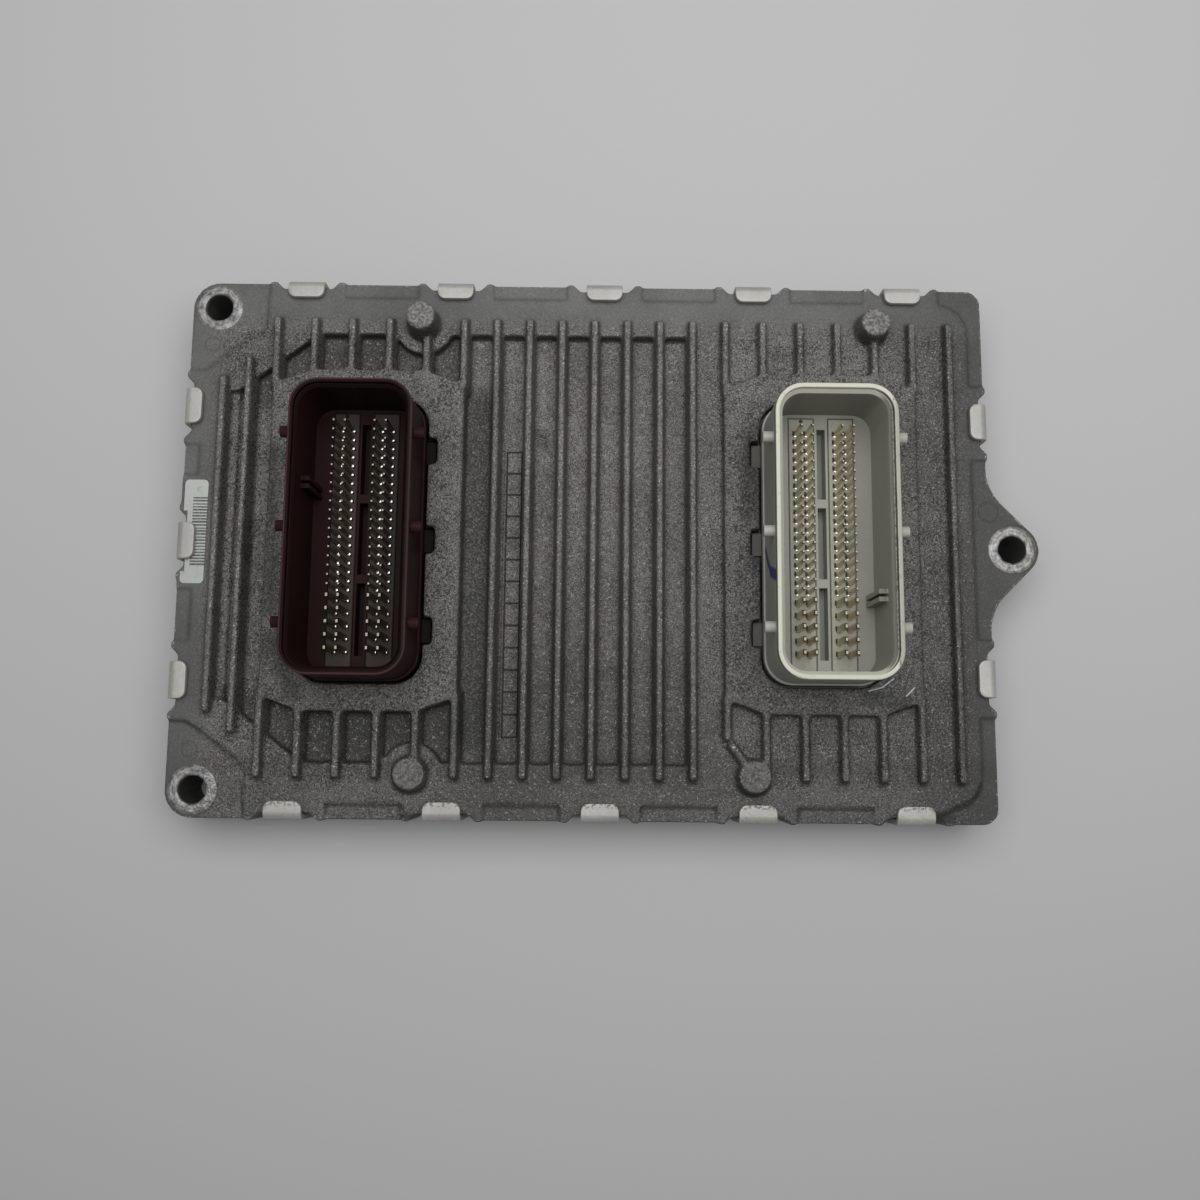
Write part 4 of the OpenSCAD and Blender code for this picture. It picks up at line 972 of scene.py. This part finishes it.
def smooth_faces(piece, angle):
    """Smooth shading with sharp edges over the angle, in degrees."""
    piece.data.polygons.foreach_set("use_smooth", np.ones(len(piece.data.polygons), bool))
    piece.data.set_sharp_from_angle(angle=math.radians(angle))


def mark_middle(piece):
    """Puts the points of the fins, ribs and plateaus, inside the smooth border, into a vertex group."""
    at = np.empty(len(piece.data.vertices) * 3)
    piece.data.vertices.foreach_get("co", at)
    x, y, z = at.reshape(-1, 3).T / MM
    inside = (np.abs(y) < 44.0) & (np.abs(x - 1.0) < 76.5) & (z > 11.0)
    group = piece.vertex_groups.new(name="middle")
    group.add(np.flatnonzero(inside).tolist(), 1.0, "REPLACE")
    return group.name


def mark_edges(piece):
    """Stores how far each point stands out (above 0) or lies in a hollow (below 0) as the attribute edge."""
    mesh = piece.data
    count = len(mesh.vertices)
    at = np.empty(count * 3)
    mesh.vertices.foreach_get("co", at)
    at = at.reshape(-1, 3) / MM
    normal = np.empty(count * 3)
    mesh.vertex_normals.foreach_get("vector", normal)
    normal = normal.reshape(-1, 3)
    pair = np.empty(len(mesh.edges) * 2, int)
    mesh.edges.foreach_get("vertices", pair)
    pair = pair.reshape(-1, 2)
    total, number = np.zeros(count), np.zeros(count)
    for a, b in (pair.T, pair.T[::-1]):
        run = at[b] - at[a]
        bend = -(normal[a] * run).sum(1) / np.maximum((run * run).sum(1), 0.01)
        np.add.at(total, a, bend)
        np.add.at(number, a, 1)
    value = total / np.maximum(number, 1)
    even = value.copy()
    for a, b in (pair.T, pair.T[::-1]):
        np.add.at(even, a, value[b])
    even /= number + 1
    layer = mesh.attributes.new("edge", "FLOAT", "POINT")
    layer.data.foreach_set("value", np.clip(even, -2, 2))


def seat(piece, material, slot, *nodes):
    """Gives a new piece its material and body and hides the CAD nodes that it stands for; its finish slot is
    not used.
    """
    piece.data.materials.clear()
    piece.data.materials.append(material)
    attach(piece, "root")
    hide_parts(*nodes)


def dress(nodes, material):
    """Gives CAD nodes that stay as they are a material."""
    for name in nodes:
        NODES[name].data.materials.clear()
        NODES[name].data.materials.append(material)


def is_sharp(edge):
    """An edge between faces that meet at more than 30 degrees."""
    return edge.calc_face_angle(0.0) > math.radians(30)


def add_collar(work, radius, at):
    """Adds one flattened ball round a pin's foot."""
    ball = bmesh.ops.create_uvsphere(work, u_segments=COLLAR["turns"], v_segments=COLLAR["rows"], radius=radius)
    bmesh.ops.scale(work, verts=ball["verts"], vec=(1.0, 1.0, COLLAR["flatness"]))
    bmesh.ops.translate(work, verts=ball["verts"], vec=at)


class ECU_OT_casting(bpy.types.Operator):
    """Rounds the cast housing's edges and gives it its mottled skin"""

    bl_idname = "ecu.casting"
    bl_label = "Cast housing"

    def execute(self, context):
        look = context.scene.ecu_casting
        piece = merged_copy("housing", "cast_housing", False)
        skin = piece.modifiers.new("skin", "REMESH")
        skin.mode = "VOXEL"
        skin.voxel_size = look.grain
        fillet = piece.modifiers.new("fillet", "SMOOTH")
        fillet.factor = 0.5
        fillet.iterations = look.fillet_passes
        baked(piece)
        crests = piece.modifiers.new("crests", "SMOOTH")
        crests.factor = 0.5
        crests.iterations = look.crest_passes
        crests.vertex_group = mark_middle(piece)
        baked(piece)
        thin = piece.modifiers.new("thin", "DECIMATE")
        thin.ratio = min(1.0, look.triangles / (2 * len(piece.data.polygons)))
        baked(piece)
        smooth_faces(piece, 70)
        mark_edges(piece)
        seat(piece, cast_finish(look), "cast_aluminium", "housing")
        return {"FINISHED"}


class ECU_OT_cover(bpy.types.Operator):
    """Rounds the tabs of the sheet cover and plates it"""

    bl_idname = "ecu.cover"
    bl_label = "Sheet cover"

    def execute(self, context):
        look = context.scene.ecu_cover
        piece = merged_copy("base_plate", "sheet_cover", True)

        def tab_corner(edge):
            a, b = (v.co for v in edge.verts)
            level = min(a.z, b.z) > 13.9 * MM and abs(a.z - b.z) > 0.5 * MM
            return level and is_sharp(edge) and (a.xy - b.xy).length < 0.05 * MM

        round_edges(piece, look.corner_radius, 4, tab_corner)
        round_edges(piece, look.edge_radius, 2, is_sharp)
        cut_faces(piece)
        smooth_faces(piece, 50)
        mark_edges(piece)
        piece.modifiers.new("even_shade", "WEIGHTED_NORMAL").keep_sharp = True
        seat(piece, sheet_finish(look), "sheet_aluminium", "base_plate")
        return {"FINISHED"}


class ECU_OT_sockets(bpy.types.Operator):
    """Rounds the two plug sockets' edges and gives sockets and carriers their plastics"""

    bl_idname = "ecu.sockets"
    bl_label = "Plug sockets"

    def execute(self, context):
        look = context.scene.ecu_sockets
        finishes = {
            "a": moulded_finish("dark_red_plastic_finish", SOCKETS["a"], look.dark_red, look.dark_red_lip,
                                look.dark_dirt_and_shade, specular=0.04, lip_width=0.34, rim_share=0.28, ledge_share=0.0),
            "b": moulded_finish("pale_plastic_finish", SOCKETS["b"], look.pale, look.pale_lip, look.pale_dirt_and_shade,
                                specular=0.4, lip_width=1.0, rim_share=1.0, ledge_share=0.35, marker=look.ink),
        }
        carriers = {
            "a": carrier_finish("dark_red_carrier_finish", look.dark_carrier, 0.1, SOCKETS["a"], WELLS["a"]),
            "b": carrier_finish("pale_carrier_finish", look.pale_carrier, 0.4, SOCKETS["b"], WELLS["b"]),
        }
        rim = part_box("connector_shroud_a")[1].z

        def on_rim(edge):
            return is_sharp(edge) and min(v.co.z for v in edge.verts) > rim - 0.05 * MM

        def on_ledge(edge):
            level = [rim - v.co.z for v in edge.verts]
            return is_sharp(edge) and edge.is_convex and 0.5 * MM < min(level) and max(level) < 1.5 * MM

        for side, slot in (("a", "dark_red_plastic"), ("b", "pale_plastic")):
            piece = merged_copy("connector_shroud_" + side, "plug_socket_" + side, True)
            round_edges(piece, look.lead_in, 1, on_ledge)
            round_edges(piece, look.rim_radius, 3, on_rim)
            round_edges(piece, look.edge_radius, 2, is_sharp)
            cut_faces(piece)
            smooth_faces(piece, 40)
            mark_edges(piece)
            piece.modifiers.new("even_shade", "WEIGHTED_NORMAL").keep_sharp = True
            seat(piece, finishes[side], slot, "connector_shroud_" + side)
            dress(["contact_carriers_" + side], carriers[side])
        return {"FINISHED"}


class ECU_OT_pins(bpy.types.Operator):
    """Plates the pins of both sockets and sets a bright collar round each foot"""

    bl_idname = "ecu.pins"
    bl_label = "Pins"

    def execute(self, context):
        look = context.scene.ecu_pins
        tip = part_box("signal_pins_a")[1].z / MM
        # The left socket's pins get a darker copy of the plating: painted shade
        dress(["signal_pins_a", "power_pins_a"], plated_finish("shaded_pin_finish", look, 0.45, tip))
        dress(["signal_pins_b", "power_pins_b"], plated_finish("plated_pin_finish", look, 1.0, tip))
        shoulders = shoulder_finish(look)
        for side, (x, y) in SOCKETS.items():
            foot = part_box("contact_carriers_" + side)[1].z
            work = bmesh.new()
            for rows, column in ((r, c) for r in (SLIM_ROWS, WIDE_ROWS) for c in PIN_COLUMNS):
                across = (x + column + COLLAR["across"][side]) * MM
                for i in range(rows["count"]):
                    along = (y + rows["high"] - i * rows["step"] - COLLAR["below"]) * MM
                    add_collar(work, look.collar, (across, along, foot))
            mesh = bpy.data.meshes.new("pin_collars_" + side)
            work.to_mesh(mesh)
            work.free()
            piece = bpy.data.objects.new("pin_collars_" + side, mesh)
            context.scene.collection.objects.link(piece)
            smooth_faces(piece, 80)
            mesh.materials.append(shoulders)
            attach(piece, "root")
        return {"FINISHED"}


class ECU_OT_label(bpy.types.Operator):
    """Prints the label with generic bars"""

    bl_idname = "ecu.label"
    bl_label = "Label"

    def execute(self, context):
        dress(["bar_label"], printed_finish(context.scene.ecu_label))
        return {"FINISHED"}


class ECU_OT_board(bpy.types.Operator):
    """Gives the seals, the board and what stands on it their finishes"""

    bl_idname = "ecu.board"
    bl_label = "Board and seals"

    def execute(self, context):
        look = context.scene.ecu_board
        dress(["circuit_board"], board_finish(look))
        seals = ["perimeter_seal", "connector_seal_a", "connector_seal_b"]
        dress(seals, plain_finish("seal_rubber_finish", look.rubber, 0.7))
        chips = ["microcontroller", "memory_chip", "driver_chips", "power_transistors"]
        dress(chips, plain_finish("chip_resin_finish", look.chip, 0.6, depth=0.02, scale=5.0))
        dress(["board_screws"], plain_finish("zinc_screw_finish", look.zinc, 0.35, 1.0))
        dress(["crystal"], plain_finish("drawn_can_finish", look.crystal_can, 0.3, 1.0))
        dress(["smoothing_capacitors"], plain_finish("capacitor_can_finish", look.capacitor_can, 0.3, 0.9))
        dress(["pressure_sensor"], plain_finish("sensor_body_finish", look.sensor, 0.5))
        dress(["chip_capacitors"], plain_finish("ceramic_block_finish", look.ceramic, 0.5))
        dress(["inductors"], plain_finish("ferrite_finish", look.ferrite, 0.6, depth=0.03))
        dress(["thermal_pads"], plain_finish("thermal_pad_finish", look.pad, 0.8))
        return {"FINISHED"}


class ECU_OT_studio(bpy.types.Operator):
    """Sets the floor, the soft light and the camera"""

    bl_idname = "ecu.studio"
    bl_label = "Studio"

    def execute(self, context):
        look = context.scene.ecu_studio
        scene = context.scene
        scene.view_settings.view_transform = "Standard"

        mesh = bpy.data.meshes.new("studio_floor")
        work = bmesh.new()
        bmesh.ops.create_grid(work, x_segments=1, y_segments=1, size=3.0)
        work.to_mesh(mesh)
        work.free()
        floor = bpy.data.objects.new("studio_floor", mesh)
        scene.collection.objects.link(floor)
        material, _, shader = new_material("floor_finish", 0.8, 0.0, 0.2)
        shader.inputs["Base Color"].default_value = colour(look.floor)
        mesh.materials.append(material)

        lamp = bpy.data.lights.new("key_lamp", "AREA")
        lamp.shape = "RECTANGLE"
        lamp.size, lamp.size_y = look.key_size
        lamp.energy = look.key
        key = bpy.data.objects.new("key_lamp", lamp)
        key.location = look.key_place
        key.rotation_euler = (look.key_tilt, 0, 0)
        key.visible_camera = False
        scene.collection.objects.link(key)

        world = bpy.data.worlds.new("studio_sky")
        world.use_nodes = True
        sky = world.node_tree.nodes["Background"]
        sky.inputs["Color"].default_value = (1, 1, 1, 1)
        sky.inputs["Strength"].default_value = look.sky
        scene.world = world

        view = bpy.data.cameras.new("photo_camera")
        view.sensor_fit = "HORIZONTAL"
        view.sensor_width = 36.0
        view.lens = look.lens
        view.clip_start, view.clip_end = 0.01, 20.0
        camera = bpy.data.objects.new("photo_camera", view)
        camera.location = look.camera_place
        camera.rotation_euler = look.camera_turn
        scene.collection.objects.link(camera)
        scene.camera = camera
        return {"FINISHED"}


SETTINGS = {
    "ecu_casting": CastingSettings,
    "ecu_cover": CoverSettings,
    "ecu_sockets": SocketSettings,
    "ecu_pins": PinSettings,
    "ecu_label": LabelSettings,
    "ecu_board": BoardSettings,
    "ecu_studio": StudioSettings,
}
OPERATORS = [ECU_OT_casting, ECU_OT_cover, ECU_OT_sockets, ECU_OT_pins, ECU_OT_label, ECU_OT_board,
             ECU_OT_studio]


class ECU_PT_panel(bpy.types.Panel):
    """Lists the steps and their settings"""

    bl_idname = "ECU_PT_panel"
    bl_label = "Engine control unit"
    bl_space_type = "VIEW_3D"
    bl_region_type = "UI"
    bl_category = "Control unit"

    def draw(self, context):
        for operator, name in zip(OPERATORS, SETTINGS):
            box = self.layout.box()
            box.operator(operator.bl_idname)
            settings = getattr(context.scene, name)
            for label in settings.__annotations__:
                box.prop(settings, label)


def register():
    for name, group in SETTINGS.items():
        bpy.utils.register_class(group)
        setattr(bpy.types.Scene, name, bpy.props.PointerProperty(type=group))
    for operator in OPERATORS:
        bpy.utils.register_class(operator)
    bpy.utils.register_class(ECU_PT_panel)


def unregister():
    bpy.utils.unregister_class(ECU_PT_panel)
    for operator in reversed(OPERATORS):
        bpy.utils.unregister_class(operator)
    for name, group in SETTINGS.items():
        delattr(bpy.types.Scene, name)
        bpy.utils.unregister_class(group)


def main():
    """Builds every piece in order."""
    register()
    bpy.ops.ecu.casting()
    bpy.ops.ecu.cover()
    bpy.ops.ecu.sockets()
    bpy.ops.ecu.pins()
    bpy.ops.ecu.label()
    bpy.ops.ecu.board()
    bpy.ops.ecu.studio()


if __name__ == "__main__":
    main()
